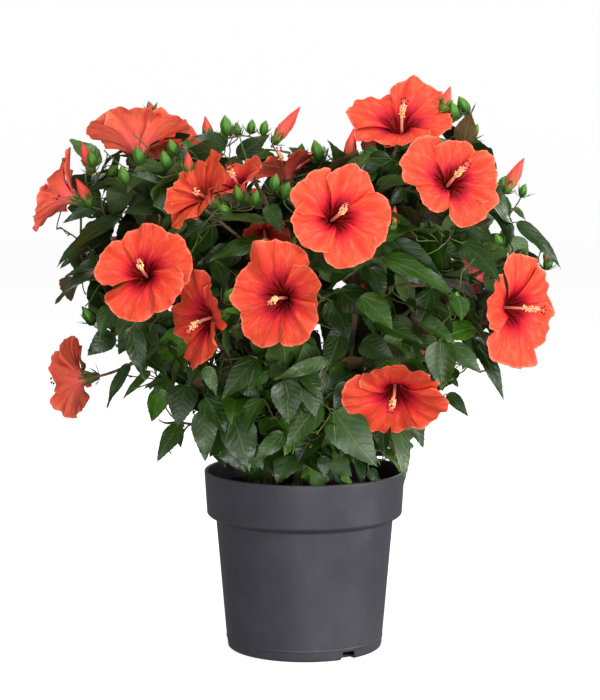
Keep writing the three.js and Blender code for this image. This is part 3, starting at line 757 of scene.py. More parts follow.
# the leaves that make the outline: foot of the blade, its tip, width, kind
LEADING = [
    ((-0.082, -0.150, 0.300), (-0.060, -0.165, 0.240), 1.02, 0),
    ((-0.112, -0.150, 0.321), (-0.091, -0.162, 0.283), 1.25, 0),
    ((-0.115, -0.130, 0.304), (-0.113, -0.140, 0.247), 0.82, 1),
    ((-0.146, -0.060, 0.278), (-0.172, -0.075, 0.236), 0.75, 1),
    ((-0.148, -0.060, 0.273), (-0.143, -0.064, 0.251), 0.90, 0),
    ((-0.137, -0.085, 0.328), (-0.146, -0.100, 0.280), 1.12, 0),
    ((-0.102, -0.100, 0.284), (-0.074, -0.118, 0.228), 1.00, 0),
    ((-0.048, -0.165, 0.322), (-0.069, -0.172, 0.283), 1.00, 1),
    ((-0.024, -0.150, 0.281), (-0.056, -0.160, 0.249), 0.75, 1),
    ((-0.023, -0.160, 0.343), (-0.015, -0.172, 0.295), 1.15, 0),
    ((0.017, -0.165, 0.317), (-0.019, -0.172, 0.267), 0.85, 1),
    ((0.033, -0.150, 0.307), (0.077, -0.165, 0.242), 0.95, 1),
    ((0.091, -0.130, 0.295), (0.090, -0.140, 0.250), 0.80, 0),
    ((0.105, -0.125, 0.294), (0.115, -0.142, 0.222), 0.56, 1),
    ((0.119, -0.105, 0.300), (0.134, -0.115, 0.258), 0.85, 0),
    ((0.026, -0.165, 0.365), (-0.037, -0.172, 0.348), 0.42, 1),
    ((-0.053, -0.150, 0.366), (-0.094, -0.165, 0.323), 0.80, 0),
    ((-0.044, -0.150, 0.351), (-0.062, -0.160, 0.330), 0.90, 1),
    ((-0.111, -0.150, 0.357), (-0.103, -0.158, 0.324), 0.80, 1),
    ((-0.119, -0.120, 0.361), (-0.132, -0.130, 0.331), 0.95, 0),
    ((-0.041, -0.060, 0.264), (-0.024, -0.075, 0.212), 1.10, 0),
    ((0.020, -0.085, 0.244), (0.024, -0.092, 0.220), 1.10, 0),
    ((0.033, -0.085, 0.243), (0.053, -0.095, 0.221), 1.20, 1),
    ((0.074, -0.085, 0.228), (0.090, -0.090, 0.214), 1.00, 0),
    ((0.043, -0.095, 0.222), (0.055, -0.098, 0.213), 1.00, 2),
    ((0.048, -0.140, 0.338), (0.036, -0.150, 0.305), 0.95, 0),
    ((-0.005, -0.070, 0.249), (0.016, -0.085, 0.223), 1.10, 0),
    ((0.054, -0.125, 0.321), (0.070, -0.138, 0.271), 1.00, 0),
    ((0.001, -0.160, 0.337), (0.019, -0.170, 0.299), 1.05, 0),
    ((-0.078, -0.140, 0.349), (-0.048, -0.150, 0.321), 1.00, 0),
    ((-0.005, -0.150, 0.355), (0.019, -0.160, 0.322), 1.10, 0),
    ((-0.105, -0.080, 0.262), (-0.091, -0.095, 0.232), 1.10, 0),
    ((-0.075, -0.090, 0.275), (-0.049, -0.105, 0.231), 1.20, 0),
    ((0.052, -0.100, 0.288), (0.043, -0.115, 0.247), 1.10, 0),
    ((0.012, -0.090, 0.278), (-0.005, -0.100, 0.235), 1.10, 0),
    ((0.082, -0.100, 0.279), (0.070, -0.115, 0.242), 1.00, 0),
    ((-0.196, -0.120, 0.400), (-0.188, -0.135, 0.338), 0.62, 0),
    ((-0.204, -0.070, 0.350), (-0.231, -0.085, 0.300), 0.42, 0),
    ((-0.180, -0.070, 0.342), (-0.209, -0.085, 0.308), 0.42, 1),
    ((-0.188, -0.100, 0.364), (-0.158, -0.110, 0.342), 0.95, 0),
    ((-0.165, -0.080, 0.337), (-0.176, -0.090, 0.316), 0.80, 1),
    ((-0.225, -0.040, 0.383), (-0.254, -0.050, 0.357), 1.05, 0),
    ((-0.227, -0.050, 0.416), (-0.242, -0.060, 0.378), 0.80, 1),
    ((-0.246, -0.040, 0.393), (-0.262, -0.045, 0.414), 1.00, 0),
    ((-0.215, -0.020, 0.518), (-0.294, -0.030, 0.464), 0.44, 0),
    ((-0.225, -0.010, 0.502), (-0.289, -0.020, 0.458), 0.36, 0),
    ((-0.230, -0.030, 0.473), (-0.281, -0.038, 0.447), 0.38, 0),
    ((-0.233, -0.035, 0.464), (-0.292, -0.045, 0.417), 0.50, 0),
    ((-0.237, 0.000, 0.534), (-0.287, -0.010, 0.515), 0.50, 0),
    ((-0.221, 0.000, 0.558), (-0.260, -0.005, 0.546), 0.60, 0),
    ((-0.165, -0.060, 0.533), (-0.209, -0.070, 0.522), 1.00, 0),
    ((-0.156, -0.060, 0.565), (-0.201, -0.070, 0.567), 0.70, 0),
    ((-0.241, -0.030, 0.373), (-0.255, -0.035, 0.360), 0.90, 0),
    ((-0.178, -0.100, 0.393), (-0.168, -0.110, 0.369), 0.80, 0),
    ((-0.152, -0.100, 0.381), (-0.133, -0.120, 0.347), 0.90, 0),
    ((-0.179, -0.090, 0.324), (-0.160, -0.100, 0.335), 0.90, 1),
    ((-0.215, -0.060, 0.429), (-0.223, -0.080, 0.393), 0.90, 0),
    ((-0.093, 0.020, 0.600), (-0.133, 0.010, 0.610), 0.95, 0),
    ((-0.079, 0.020, 0.586), (-0.043, 0.025, 0.614), 0.95, 0),
    ((0.009, 0.020, 0.581), (-0.020, 0.015, 0.596), 0.95, 0),
    ((-0.049, -0.110, 0.495), (-0.106, -0.125, 0.472), 0.72, 1),
    ((-0.042, -0.105, 0.518), (-0.119, -0.120, 0.516), 0.50, 1),
    ((-0.138, -0.040, 0.597), (-0.168, -0.050, 0.568), 0.90, 0),
    ((-0.113, -0.100, 0.517), (-0.135, -0.115, 0.497), 0.90, 0),
    ((-0.074, -0.090, 0.482), (-0.124, -0.100, 0.464), 0.90, 0),
    ((-0.083, -0.100, 0.462), (-0.119, -0.115, 0.440), 0.95, 0),
    ((-0.005, -0.120, 0.507), (0.028, -0.135, 0.458), 0.85, 0),
    ((-0.102, -0.110, 0.472), (-0.087, -0.125, 0.439), 0.95, 0),
    ((-0.042, -0.100, 0.536), (-0.025, -0.115, 0.506), 0.90, 1),
    ((0.086, -0.140, 0.479), (0.170, -0.155, 0.442), 0.60, 1),
    ((0.093, -0.100, 0.489), (0.168, -0.115, 0.448), 0.80, 0),
    ((0.063, -0.140, 0.435), (0.098, -0.158, 0.400), 1.10, 1),
    ((0.077, -0.135, 0.406), (0.131, -0.145, 0.379), 0.70, 0),
    ((0.131, -0.130, 0.405), (0.171, -0.140, 0.383), 0.80, 1),
    ((0.181, -0.075, 0.491), (0.228, -0.090, 0.448), 1.00, 0),
    ((0.131, -0.060, 0.535), (0.167, -0.070, 0.502), 0.75, 3),
    ((0.164, -0.050, 0.500), (0.192, -0.055, 0.508), 0.90, 0),
    ((0.250, -0.010, 0.511), (0.307, -0.015, 0.462), 0.42, 0),
    ((0.168, -0.085, 0.374), (0.202, -0.095, 0.341), 0.85, 1),
    ((0.197, -0.050, 0.379), (0.238, -0.060, 0.309), 0.42, 0),
    ((0.139, -0.065, 0.353), (0.181, -0.080, 0.327), 1.05, 0),
    ((0.167, -0.055, 0.313), (0.192, -0.065, 0.289), 0.75, 0),
    ((0.176, -0.060, 0.438), (0.194, -0.075, 0.398), 1.10, 0),
    ((0.145, -0.110, 0.442), (0.136, -0.120, 0.400), 1.05, 0),
    ((0.198, -0.030, 0.510), (0.219, -0.030, 0.516), 0.80, 3),
    ((0.237, -0.010, 0.534), (0.229, -0.012, 0.517), 0.80, 1),
    ((0.247, -0.010, 0.528), (0.260, -0.012, 0.513), 0.80, 1),
    ((0.113, -0.060, 0.554), (0.096, -0.070, 0.532), 0.90, 0),
    ((0.040, -0.100, 0.439), (0.077, -0.120, 0.409), 1.10, 0),
    ((0.029, -0.100, 0.427), (0.054, -0.110, 0.382), 1.10, 0),
    ((0.114, -0.100, 0.427), (0.154, -0.120, 0.409), 1.00, 0),
    ((0.066, -0.110, 0.382), (0.099, -0.130, 0.359), 1.10, 0),
    ((0.040, -0.110, 0.388), (0.029, -0.120, 0.347), 1.10, 0),
    ((0.110, -0.090, 0.386), (0.151, -0.100, 0.363), 0.90, 0),
    ((0.145, -0.070, 0.494), (0.181, -0.080, 0.469), 0.90, 0),
    ((0.054, -0.120, 0.466), (0.029, -0.130, 0.442), 1.00, 0),
    ((0.042, -0.020, 0.422), (0.021, -0.030, 0.367), 1.10, 0),
    ((0.006, -0.030, 0.385), (0.025, -0.040, 0.348), 1.20, 0),
    ((0.025, 0.000, 0.430), (0.016, -0.010, 0.388), 1.20, 0),
    ((-0.005, -0.020, 0.398), (-0.017, -0.030, 0.354), 1.20, 0),
    ((-0.024, -0.030, 0.373), (-0.005, -0.040, 0.337), 1.10, 0),
    ((0.047, -0.050, 0.387), (0.030, -0.060, 0.344), 1.10, 0),
    ((0.178, -0.020, 0.420), (0.207, -0.030, 0.385), 1.00, 0),
    ((0.159, -0.030, 0.385), (0.173, -0.040, 0.348), 1.00, 0),
    ((0.074, -0.110, 0.465), (0.090, -0.120, 0.429), 1.00, 0),
    ((-0.017, 0.010, 0.386), (-0.005, 0.010, 0.342), 1.25, 0),
    ((0.016, 0.020, 0.377), (0.004, 0.020, 0.336), 1.25, 0),
    ((-0.041, 0.010, 0.366), (-0.029, 0.010, 0.328), 1.25, 0),
    ((-0.001, 0.040, 0.358), (-0.020, 0.040, 0.319), 1.20, 0),
    ((0.031, 0.020, 0.362), (0.019, 0.020, 0.322), 1.20, 0),
    ((-0.051, 0.020, 0.394), (-0.058, 0.020, 0.353), 1.20, 0),
    ((0.048, 0.020, 0.416), (0.057, 0.020, 0.375), 1.20, 0),
    ((0.040, 0.020, 0.389), (0.050, 0.020, 0.348), 1.20, 0),
]

# where the crown is open as seen from the front: centre and half sizes (x, z) in the plane y = 0
OPEN = [
    (-0.228, 0.488, 0.015, 0.009),
    (-0.165, 0.544, 0.007, 0.009),
    (-0.199, 0.538, 0.007, 0.006),
    (-0.223, 0.580, 0.018, 0.007),
    (-0.181, 0.583, 0.011, 0.008),
    (-0.184, 0.369, 0.008, 0.013),
    (-0.230, 0.344, 0.020, 0.011),
    (-0.193, 0.295, 0.014, 0.017),
    (-0.223, 0.274, 0.036, 0.036),
    (-0.270, 0.382, 0.024, 0.019),
    (-0.260, 0.483, 0.017, 0.006),
    (-0.273, 0.436, 0.012, 0.005),
    (-0.279, 0.418, 0.019, 0.010),
    (0.124, 0.520, 0.008, 0.013),
    (0.174, 0.469, 0.009, 0.008),
    (0.195, 0.469, 0.006, 0.006),
    (0.206, 0.430, 0.007, 0.006),
    (0.153, 0.356, 0.018, 0.008),
    (0.198, 0.316, 0.017, 0.014),
    (0.220, 0.496, 0.012, 0.011),
    (0.261, 0.495, 0.021, 0.012),
    (0.021, 0.631, 0.028, 0.033),
    (-0.117, 0.613, 0.006, 0.005),
    (0.234, 0.274, 0.072, 0.048),
    (0.179, 0.340, 0.010, 0.006),
    (-0.290, 0.460, 0.009, 0.024),
    (-0.256, 0.298, 0.036, 0.036),
    (-0.158, 0.292, 0.006, 0.014),
    (-0.140, 0.250, 0.010, 0.015),
    (-0.185, 0.250, 0.014, 0.015),
    (0.105, 0.241, 0.006, 0.012),
    (0.150, 0.262, 0.022, 0.024),
]

LEAD = np.array([(*a, *b, w) for a, b, w, _ in LEADING])
OPENING = np.array(OPEN)


def in_opening(p):
    """True for points (n, 3) that lie in front of or behind an opening."""
    k = (0 - EYE[1]) / (p[:, 1] - EYE[1])
    q = EYE + (p - EYE) * k[:, None]
    r = ((q[:, None, 0] - OPENING[:, 0]) / OPENING[:, 2]) ** 2 + ((q[:, None, 2] - OPENING[:, 1]) / OPENING[:, 3]) ** 2
    return (r < 1).any(1)


# x, z, half width and half height, in the plane y = 0, of what stays in sight behind depth y
SHOWN = np.array([
    (-0.195, 0.614, 0.073, 0.042, 0.00),
    (-0.293, 0.544, 0.043, 0.054, 0.03),
    (-0.276, 0.324, 0.029, 0.055, 0.02),
    (-0.128, 0.549, 0.043, 0.052, -0.10),
    (0.112, 0.636, 0.075, 0.051, -0.04),
    (0.171, 0.556, 0.064, 0.061, -0.09),
    (0.254, 0.410, 0.055, 0.074, -0.04),
    (-0.059, 0.570, 0.050, 0.040, 0.03),
])


def before_shown(p):
    """True for points (n, 3) between the eye and a bloom that is seen from behind or from the side."""
    k = (0 - EYE[1]) / (p[:, 1] - EYE[1])
    q = EYE + (p - EYE) * k[:, None]
    r = ((q[:, None, 0] - SHOWN[:, 0]) / SHOWN[:, 2]) ** 2 + ((q[:, None, 2] - SHOWN[:, 1]) / SHOWN[:, 3]) ** 2
    return ((r < 1) & (p[:, None, 1] < SHOWN[:, 4])).any(1)


def before_leading(p):
    """True for points (n, 3) between the eye and one of the leading leaves."""
    bad = np.zeros(len(p), bool)
    for row in LEAD:
        a, b, w = row[:3], row[3:6], row[6]
        if a[1] > -0.07 and -0.06 < a[0] < 0.20 and a[2] < 0.50:
            continue
        c = (a + b) / 2
        half = np.linalg.norm(b - a) / 2
        e = unit(EYE - c)
        u = unit((b - a) - ((b - a) @ e) * e)
        q = p - c
        along = q @ e
        q = q - along[:, None] * e
        x = q @ u
        y = np.linalg.norm(q - x[:, None] * u, axis=1)
        bad |= (along > -0.004) & (np.abs(x) < half * 1.0) & (y < half * 0.55 * w)
    return bad



def clear_of_blooms(A, B):
    """True for segments from A to B (n, 3) that leave every bloom open to its front, and to the eye."""
    ok = np.ones(len(A), bool)
    for name, c, f, r, _, _, _, _ in BLOOMS:
        c, f = np.array(c), unit(np.array(f))
        for w in (0.25, 0.6, 0.9):
            q = lerp(A, B, w) - c
            along = q @ f
            rad = np.linalg.norm(q - along[:, None] * f, axis=1)
            ok &= ~((along > -0.010) & (along < 0.075) & (rad < r * 0.96))
            if name[0] == "b" and not name.startswith("back") and f[1] < 0.2:
                e = unit(EYE - c)
                along = q @ e
                rad = q - along[:, None] * e
                # the disc as the eye sees it
                fx = unit(np.cross(f, e))
                fy = np.cross(e, fx)
                sq = max(0.35, abs(f @ e))
                rr = np.sqrt(((rad @ fx) / (r * 0.86)) ** 2 + ((rad @ fy) / (r * 0.86 * sq)) ** 2)
                ok &= ~((along > -0.004) & (along < 0.9) & (rr < 1.0))
    return ok


class Tree:
    """Every point that something can branch from."""

    def __init__(self):
        self.P, self.T, self.R = np.zeros((0, 3)), np.zeros((0, 3)), np.zeros(0)

    def add(self, pts, rad, skip=1):
        t = unit(np.gradient(pts, axis=0))[skip:]
        p, r = pts[skip:], np.asarray(rad)[skip:]
        free = clear_of_blooms(p, p)
        self.P = np.concatenate([self.P, p[free]])
        self.T = np.concatenate([self.T, t[free]])
        self.R = np.concatenate([self.R, r[free]])

    def host(self, p, bias=0.5, least=0.0, below=0.0):
        P, T, R = self.P, self.T, self.R
        d = p - P
        n = np.linalg.norm(d, axis=1)
        cos = (d * T).sum(1) / np.maximum(n, 1e-9)
        score = n * (1 + bias * np.maximum(0, 0.55 - cos)) + below * np.maximum(0, P[:, 2] - p[2]) + 9 * (n < least)
        i = int(score.argmin())
        return P[i], T[i], R[i], n[i]


tree = Tree()
for _k, (_p, _r) in STEM_CURVES.items():
    tree.add(_p, _r, skip=len(_p) * 2 // 3)
for _n, _p, _r in BOUGH_CURVES:
    tree.add(_p, _r, skip=4)

rng = np.random.default_rng(20)
twigs = Bag()
green = Bag()
limbs = []  # (points, radii) of the woody limbs that carry the outer masses


def twig_curve(p, q, hp, ht, tipdir, n, rng):
    d = np.linalg.norm(q - hp)
    side = unit(rng.normal(size=3))
    p1 = hp + ht * d * 0.28 + (q - hp) * 0.12 + side * d * 0.05
    p2 = q - tipdir * d * 0.36 + side * d * 0.04
    return bezier3(hp, p1, p2, q, n)


# a limb on to each mass that has no bough of its own
with_bough = {b[2] for b in BOUGHS} | {"foliage_left_outlier"}
order = sorted((n for n in MASSES if n not in with_bough), key=lambda n: tree.host(MASS[n]["c"])[3])
for _n in order:
    c = MASS[_n]["c"]
    hp, ht, hr, dist = tree.host(c, 0.6, below=0.4)
    cv = twig_curve(None, c, hp, ht, unit((c - hp) + np.array([0, 0, 0.02])), 16, rng)
    rad = np.linspace(min(hr * 0.85, 0.0025), 0.0014, 16)
    limbs.append((cv, rad))
    tree.add(cv, rad, skip=3)

# shoots that fill the outer half of each mass
SHOOTS = []
taken = []
for _n in MASSES:
    m = MASS[_n]
    c, h = m["c"], m["h"]
    k = int(round(46 * (h[0] * h[1] * h[2]) ** (2 / 3) / 0.0051)) + 14
    i = np.arange(k) + 0.5
    ph = np.arccos(1 - 2 * i / k)
    th = math.pi * (1 + 5**0.5) * i + rng.uniform(0, TAU)
    dirs = np.stack([np.cos(th) * np.sin(ph), np.sin(th) * np.sin(ph), np.cos(ph)], 1)
    dirs = unit(dirs + rng.normal(size=dirs.shape) * 0.12)
    for d in dirs:
        hit = m["bvh"].ray_cast(Vector(c), Vector(d))
        if hit[0] is None:
            continue
        reach = (np.array(hit[0]) - c) * rng.uniform(0.60, 0.90)
        p = c + reach
        if depth_in(p, _n)[0] < 0.66:
            continue
        if p[2] < 0.235:
            continue
        if taken and np.linalg.norm(np.array(taken) - p, axis=1).min() < 0.027:
            continue
        if not clear_of_blooms(p[None], p[None])[0] or in_opening(p[None])[0]:
            continue
        taken.append(p)
        SHOOTS.append((p, unit(reach), _n))

# nearest the wood first, so that later shoots fork from earlier ones
order = sorted(range(len(SHOOTS)), key=lambda i: tree.host(SHOOTS[i][0])[3])
LEAFY = []
for i in order:
    p, out, name = SHOOTS[i]
    hp, ht, hr, dist = tree.host(p, 0.7, least=0.018, below=0.3)
    tip = unit(out * 0.75 + np.array([0, 0, 0.45]) + rng.normal(size=3) * 0.22)
    cv = twig_curve(None, p, hp, ht, tip, max(6, int(dist / 0.010)), rng)
    rad = np.linspace(min(hr * 0.8, 0.0010 + dist * 0.006), 0.0008, len(cv))
    tree.add(cv, rad, skip=2)
    LEAFY.append((cv, rad, out, name))


# short leafy shoots round the feet of the stems
low = Tree()
for _k, (_p, _r) in STEM_CURVES.items():
    low.add(_p, _r, skip=len(_p) // 8)
for _ in range(90):
    a, r = rng.uniform(0, TAU), 0.104 * math.sqrt(rng.uniform(0.06, 1))
    p = np.array([r * math.cos(a), r * math.sin(a), rng.uniform(0.222, 0.315)])
    if not clear_of_blooms(p[None], p[None])[0]:
        continue
    hp, ht, hr, dist = low.host(p, 0.2, below=0.5)
    out = unit(np.array([math.cos(a), math.sin(a), 0.15]))
    cv = twig_curve(None, p, hp, ht, unit(out + np.array([0, 0, 0.6])), max(6, int(dist / 0.010)), rng)
    LEAFY.append((cv, np.linspace(min(hr * 0.5, 0.0016), 0.0008, len(cv)), out, "base"))

leaf_bag = Bag()
base_p, blade_d, blade_n, blade_l, blade_k, pet, basal = [], [], [], [], [], [], []
for s, (cv, rad, out, name) in enumerate(LEAFY):
    seg = np.linalg.norm(np.diff(cv, axis=0), axis=1)
    run = np.concatenate([[0], np.cumsum(seg)])
    total = run[-1]
    first = max(0.0, total - 0.085)
    gaps, at = [], total
    while at > first and len(gaps) < 9:
        gaps.append(at)
        at -= rng.uniform(0.008, 0.014)
    spin = rng.uniform(0, TAU)
    tone = rng.choice(4, p=[0.36, 0.37, 0.19, 0.08])
    for j, g in enumerate(gaps):
        p = np.array([np.interp(g, run, cv[:, a]) for a in range(3)])
        i = min(np.searchsorted(run, g), len(cv) - 1)
        t = unit(cv[i] - cv[max(i - 1, 0)])
        a = unit(np.cross(t, [0.31, 0.22, 0.93]))
        b = np.cross(t, a)
        ang = spin + j * 2.3998
        radial = a * math.cos(ang) + b * math.sin(ang)
        # blades swing away from the middle of the mass
        if radial @ out < -0.35 and rng.uniform() < 0.75:
            radial = unit(radial + out * 1.3)
        near = j / 8
        d0 = unit(radial * 0.9 + t * (0.75 - 0.5 * near) + np.array([0, 0, 0.25]))
        plen = rng.uniform(0.010, 0.020) + 0.010 * near
        e = p + d0 * plen + np.array([0, 0, -0.002])
        d = unit(radial * 0.70 + out * 0.62 + t * 0.2 + np.array([0, 0, -0.42 - 0.35 * near]) + rng.normal(size=3) * 0.22)
        n = unit(np.array([0, 0, 0.62]) + out * np.array([0.85, 0.85, 0.25]) + rng.normal(size=3) * 0.30)
        base_p.append(e)
        blade_d.append(d)
        blade_n.append(n)
        basal.append(name == "base")
        blade_l.append((0.050 + 0.032 * min(1, near * 2.2)) * rng.uniform(0.74, 1.12) * (0.86 if name == "base" else 1))
        k = tone if rng.uniform() < 0.75 else rng.choice(4, p=[0.3, 0.35, 0.3, 0.05])
        if j == 0 and rng.uniform() < 0.5:
            k = 2
        blade_k.append(k)
        pet.append((p, d0, e, d))
base_p, blade_d, blade_n = map(np.array, (base_p, blade_d, blade_n))
blade_l, blade_k = np.array(blade_l), np.array(blade_k)
tips = base_p + blade_d * blade_l[:, None] * 0.9 + np.array([0, 0, -0.12]) * blade_l[:, None]
mids = base_p + blade_d * blade_l[:, None] * 0.5
keep = clear_of_blooms(base_p, tips)
basal = np.array(basal)
keep &= basal | ((depth_in(tips) < 1.24) & (depth_in(mids) < 1.10))
keep &= ~(in_opening(tips) | in_opening(mids) | before_leading(tips) | before_leading(mids))
keep &= ~(before_shown(tips) | before_shown(mids) | before_shown(base_p))
for _q in (tips, mids):
    _r = np.hypot(_q[:, 0], _q[:, 1])
    keep &= (_q[:, 2] > 0.228) | (_r < 0.103)
    keep &= _q[:, 2] > 0.198
keep &= ~basal | (np.hypot(tips[:, 0], tips[:, 1]) < 0.135)
print("leaves", len(keep), "kept", int(keep.sum()))

# a drop in the number where leaves crowd
idx = np.flatnonzero(keep)
kd = KDTree(len(idx))
for q, i in enumerate(idx):
    kd.insert(Vector(mids[i]), q)
kd.balance()
gone = set()
for q, i in enumerate(idx):
    near = [x for x in kd.find_range(Vector(mids[i]), 0.012) if x[1] != q and x[1] not in gone]
    if len(near) >= 3:
        gone.add(q)
keep[[idx[q] for q in gone]] = False
print("after thinning", int(keep.sum()))

leaves_kw = dict()
LEAF_KINDS = {0: (0, 4), 1: (1, 4), 2: (2, 4), 3: (3, 5), 4: (4, 4)}
leaves(leaf_bag, base_p[keep], blade_d[keep], blade_n[keep], blade_l[keep], rng, blade_k[keep])

# the leading leaves, each on a twig of its own from the nearest wood
_a, _b, _w = LEAD[:, :3], LEAD[:, 3:6], LEAD[:, 6]
_chord = np.linalg.norm(_b - _a, axis=1)
_n = unit(np.array([0.0, -0.80, 0.55]) + rng.normal(size=_a.shape) * 0.30)
_n[:, 0] += np.sign(_b[:, 0] - _a[:, 0]) * 0.15
_d = unit(_b - _a)
_n = unit(_n - (_n * _d).sum(1, keepdims=True) * _d)
_k = rng.uniform(0.25, 0.65, len(_a))
_d2 = unit(_d * np.cos(_k / 2)[:, None] + _n * np.sin(_k / 2)[:, None])
_n2 = unit(_n * np.cos(_k / 2)[:, None] - _d * np.sin(_k / 2)[:, None])
leaves(leaf_bag, _a, _d2, _n2, _chord * 1.02, rng, np.array([int(r[3]) for r in LEADING]), width=_w, droop=_k, fold=rng.uniform(0.05, 0.30, len(_a)), twist=rng.uniform(-0.3, 0.3, len(_a)))
LEAD_TWIGS = []
for a, d in zip(_a, _d2):
    use = low if a[2] < 0.245 and np.hypot(a[0], a[1]) < 0.11 else tree
    hp, ht, hr, dist = use.host(a, 0.3, least=0.004, below=0.5)
    k = min(dist * 0.45, 0.03)
    cv = bezier3(hp, hp + ht * k * 0.15 + (a - hp) * 0.33, a - d * k * 0.5, a + d * 0.0015, max(6, int(dist / 0.008)))
    LEAD_TWIGS.append((cv, np.linspace(min(0.0011, hr), 0.0007, len(cv))))


# ------------------------------------------------------------------ petioles and twigs
for i in np.flatnonzero(keep):
    p, d0, e, d = pet[i]
    cv = bezier(p, p + (e - p) * 0.5 + np.array([0, 0, 0.003]), e + d * 0.0015, 5)
    tube(green, cv, np.linspace(0.00085, 0.0006, 5), 5, 3, 3)
for cv, rad, out, name in LEAFY:
    fine = rad[0] < 0.0014
    tube(twigs, cv, rad, 7, 1 if fine else 0, 1 if fine else 0)
for cv, rad in LEAD_TWIGS:
    tube(green, cv, rad, 6, 3, 3)
for cv, rad in limbs:
    cc = catmull(cv[::3], 8)
    tube(twigs, cc, np.interp(np.linspace(0, 1, len(cc)), np.linspace(0, 1, len(rad)), rad), 9, 0, 0)

# ------------------------------------------------------------------ blossom
petals = Bag()
hearts = Bag()
PR, PC = 19, 23
P_T = np.linspace(0, 1, PR) ** 0.92
P_S = np.linspace(-1, 1, PC)
P_TT, P_SS = (a.ravel() for a in np.meshgrid(P_T, P_S, indexing="ij"))
_pi = np.array([r * PC + c for r in range(1, PR - 1) for c in range(1, PC - 1)])
_pu = {int(i): PR * PC + k for k, i in enumerate(_pi)}
_pft = grid_faces(PR, PC)
_pfb = np.vectorize(lambda i: _pu.get(int(i), int(i)))(_pft)[:, ::-1]
P_F = np.concatenate([_pft, _pfb])
P_RIM = np.zeros(PR * PC + len(_pi), bool)
for _r in range(PR):
    P_RIM[_r * PC] = P_RIM[_r * PC + PC - 1] = True
P_RIM[:PC] = True
P_RIM[(PR - 1) * PC : PR * PC] = True
P_UT = np.concatenate([P_SS, P_SS[_pi]]) * 0.5 + 0.5
P_VT = np.concatenate([P_TT, P_TT[_pi]])


def bloom_profile(length, opening, flare):
    """Radius, height and slope along a petal, from the claw to the margin."""
    s = np.linspace(0, 1, 120)
    k = s * 0.070
    a = np.radians(np.interp(k, [0, 0.010, 0.020, 0.031, 0.044, 0.058, 0.070], [8, 18, 36, 60, 74, 84 + flare, 94 + 2 * flare]))
    a = a * lerp(0.42, 1.0, opening) if opening < 1 else a
    ds = length / 119
    r = 0.0024 + np.concatenate([[0], np.cumsum(np.sin(a[1:] + np.diff(a) * -0.5))]) * ds
    z = np.concatenate([[0], np.cumsum(np.cos(a[1:]))]) * ds
    z = z - np.interp(0.032 / 0.070, s, z)
    return s, r, z, a


def petal(bag, c, ax, length, opening, angle, rng, top, back):
    x, y, z = ax
    s0, r0, z0, a0 = bloom_profile(length, opening, rng.uniform(-10, 12))
    tilt = rng.uniform(-0.10, 0.10)
    t, s = P_TT, P_SS
    half = np.radians(lerp(66, 46, smooth(0, 0.75, t)))
    lobes = 1 - 0.20 * np.abs(s) ** 2.6
    ph = rng.uniform(0, TAU, 6)
    cren = 0.026 * np.sin(4.5 * s + ph[0]) + 0.012 * np.sin(11 * s + ph[1]) + 0.008 * np.sin(25 * s + ph[2])
    arc = t * (lobes + cren * smooth(0.6, 1, t)) * rng.uniform(0.97, 1.03)
    r = np.interp(arc, s0, r0)
    h = np.interp(arc, s0, z0)
    a = np.interp(arc, s0, a0)
    th = angle + s * half + rng.uniform(-0.04, 0.04)
    amp = length * 0.120 * t**3.4 * (0.4 + 0.6 * np.abs(s) ** 0.8)
    off = amp * (np.sin(3.6 * s + ph[3]) * 0.62 + np.sin(8.2 * s + ph[4] + 2.0 * t) * 0.38)
    off += length * 0.020 * t**4 * np.sin(17 * s + ph[5] + 3 * t)
    off += length * 0.013 * smooth(0.35, 0.8, t) * np.sin(11 * s + ph[0] + 4 * t)
    off += s * 0.0026 * smooth(0.12, 0.5, t) * (length / 0.07)
    off += -length * 0.05 * (np.abs(s) ** 2) * t**2 * rng.uniform(-0.4, 1.2)
    # long shallow pleats that run out from the throat
    off += length * 0.005 * np.sin(7 * s + ph[2]) * smooth(0.25, 0.6, t) * (1 - 0.3 * t)
    off += length * 0.0022 * np.sin(29 * s + ph[1]) * smooth(0.25, 0.6, t)
    rr = r - np.cos(a) * off
    hh = h + np.sin(a) * off + tilt * np.maximum(r - 0.014, 0)
    top_pts = np.stack([rr * np.cos(th), rr * np.sin(th), hh], 1)
    nr = np.stack([-np.cos(a) * np.cos(th), -np.cos(a) * np.sin(th), np.sin(a)], 1)
    low = top_pts[_pi] - nr[_pi] * 0.00055
    V = np.concatenate([top_pts, low])
    V = c + V[:, :1] * x + V[:, 1:2] * y + V[:, 2:] * z
    U = np.concatenate([cell_uv(P_UT[_pft], P_VT[_pft], top), cell_uv(P_UT[_pfb], P_VT[_pfb], back)])
    M = np.concatenate([np.full(len(_pft), top), np.full(len(_pfb), back)])
    bag.add(V, P_F, U, M, P_RIM)


_ico = bmesh.new()
bmesh.ops.create_icosphere(_ico, subdivisions=1, radius=1.0)
_ico.verts.ensure_lookup_table()
ICO_V = np.array([v.co for v in _ico.verts])
ICO_F = np.array([[v.index for v in f.verts] for f in _ico.faces])
_ico.free()


def blob(bag, p, size, axis, cell, mat, rng, rough=0.0):
    x, y, z = axes_from(np.asarray(axis, float), np.array([0.13, 0.21, 0.97]))
    q = ICO_V * (1 + rough * rng.normal(size=(len(ICO_V), 1)))
    V = p + q[:, :1] * x * size[0] + q[:, 1:2] * y * size[1] + q[:, 2:] * z * size[2]
    w = ICO_V[ICO_F]
    U = cell_uv(w[..., 0] * 0.45 + 0.5, w[..., 2] * 0.45 + 0.5, cell)
    bag.add(V, ICO_F, U, mat)


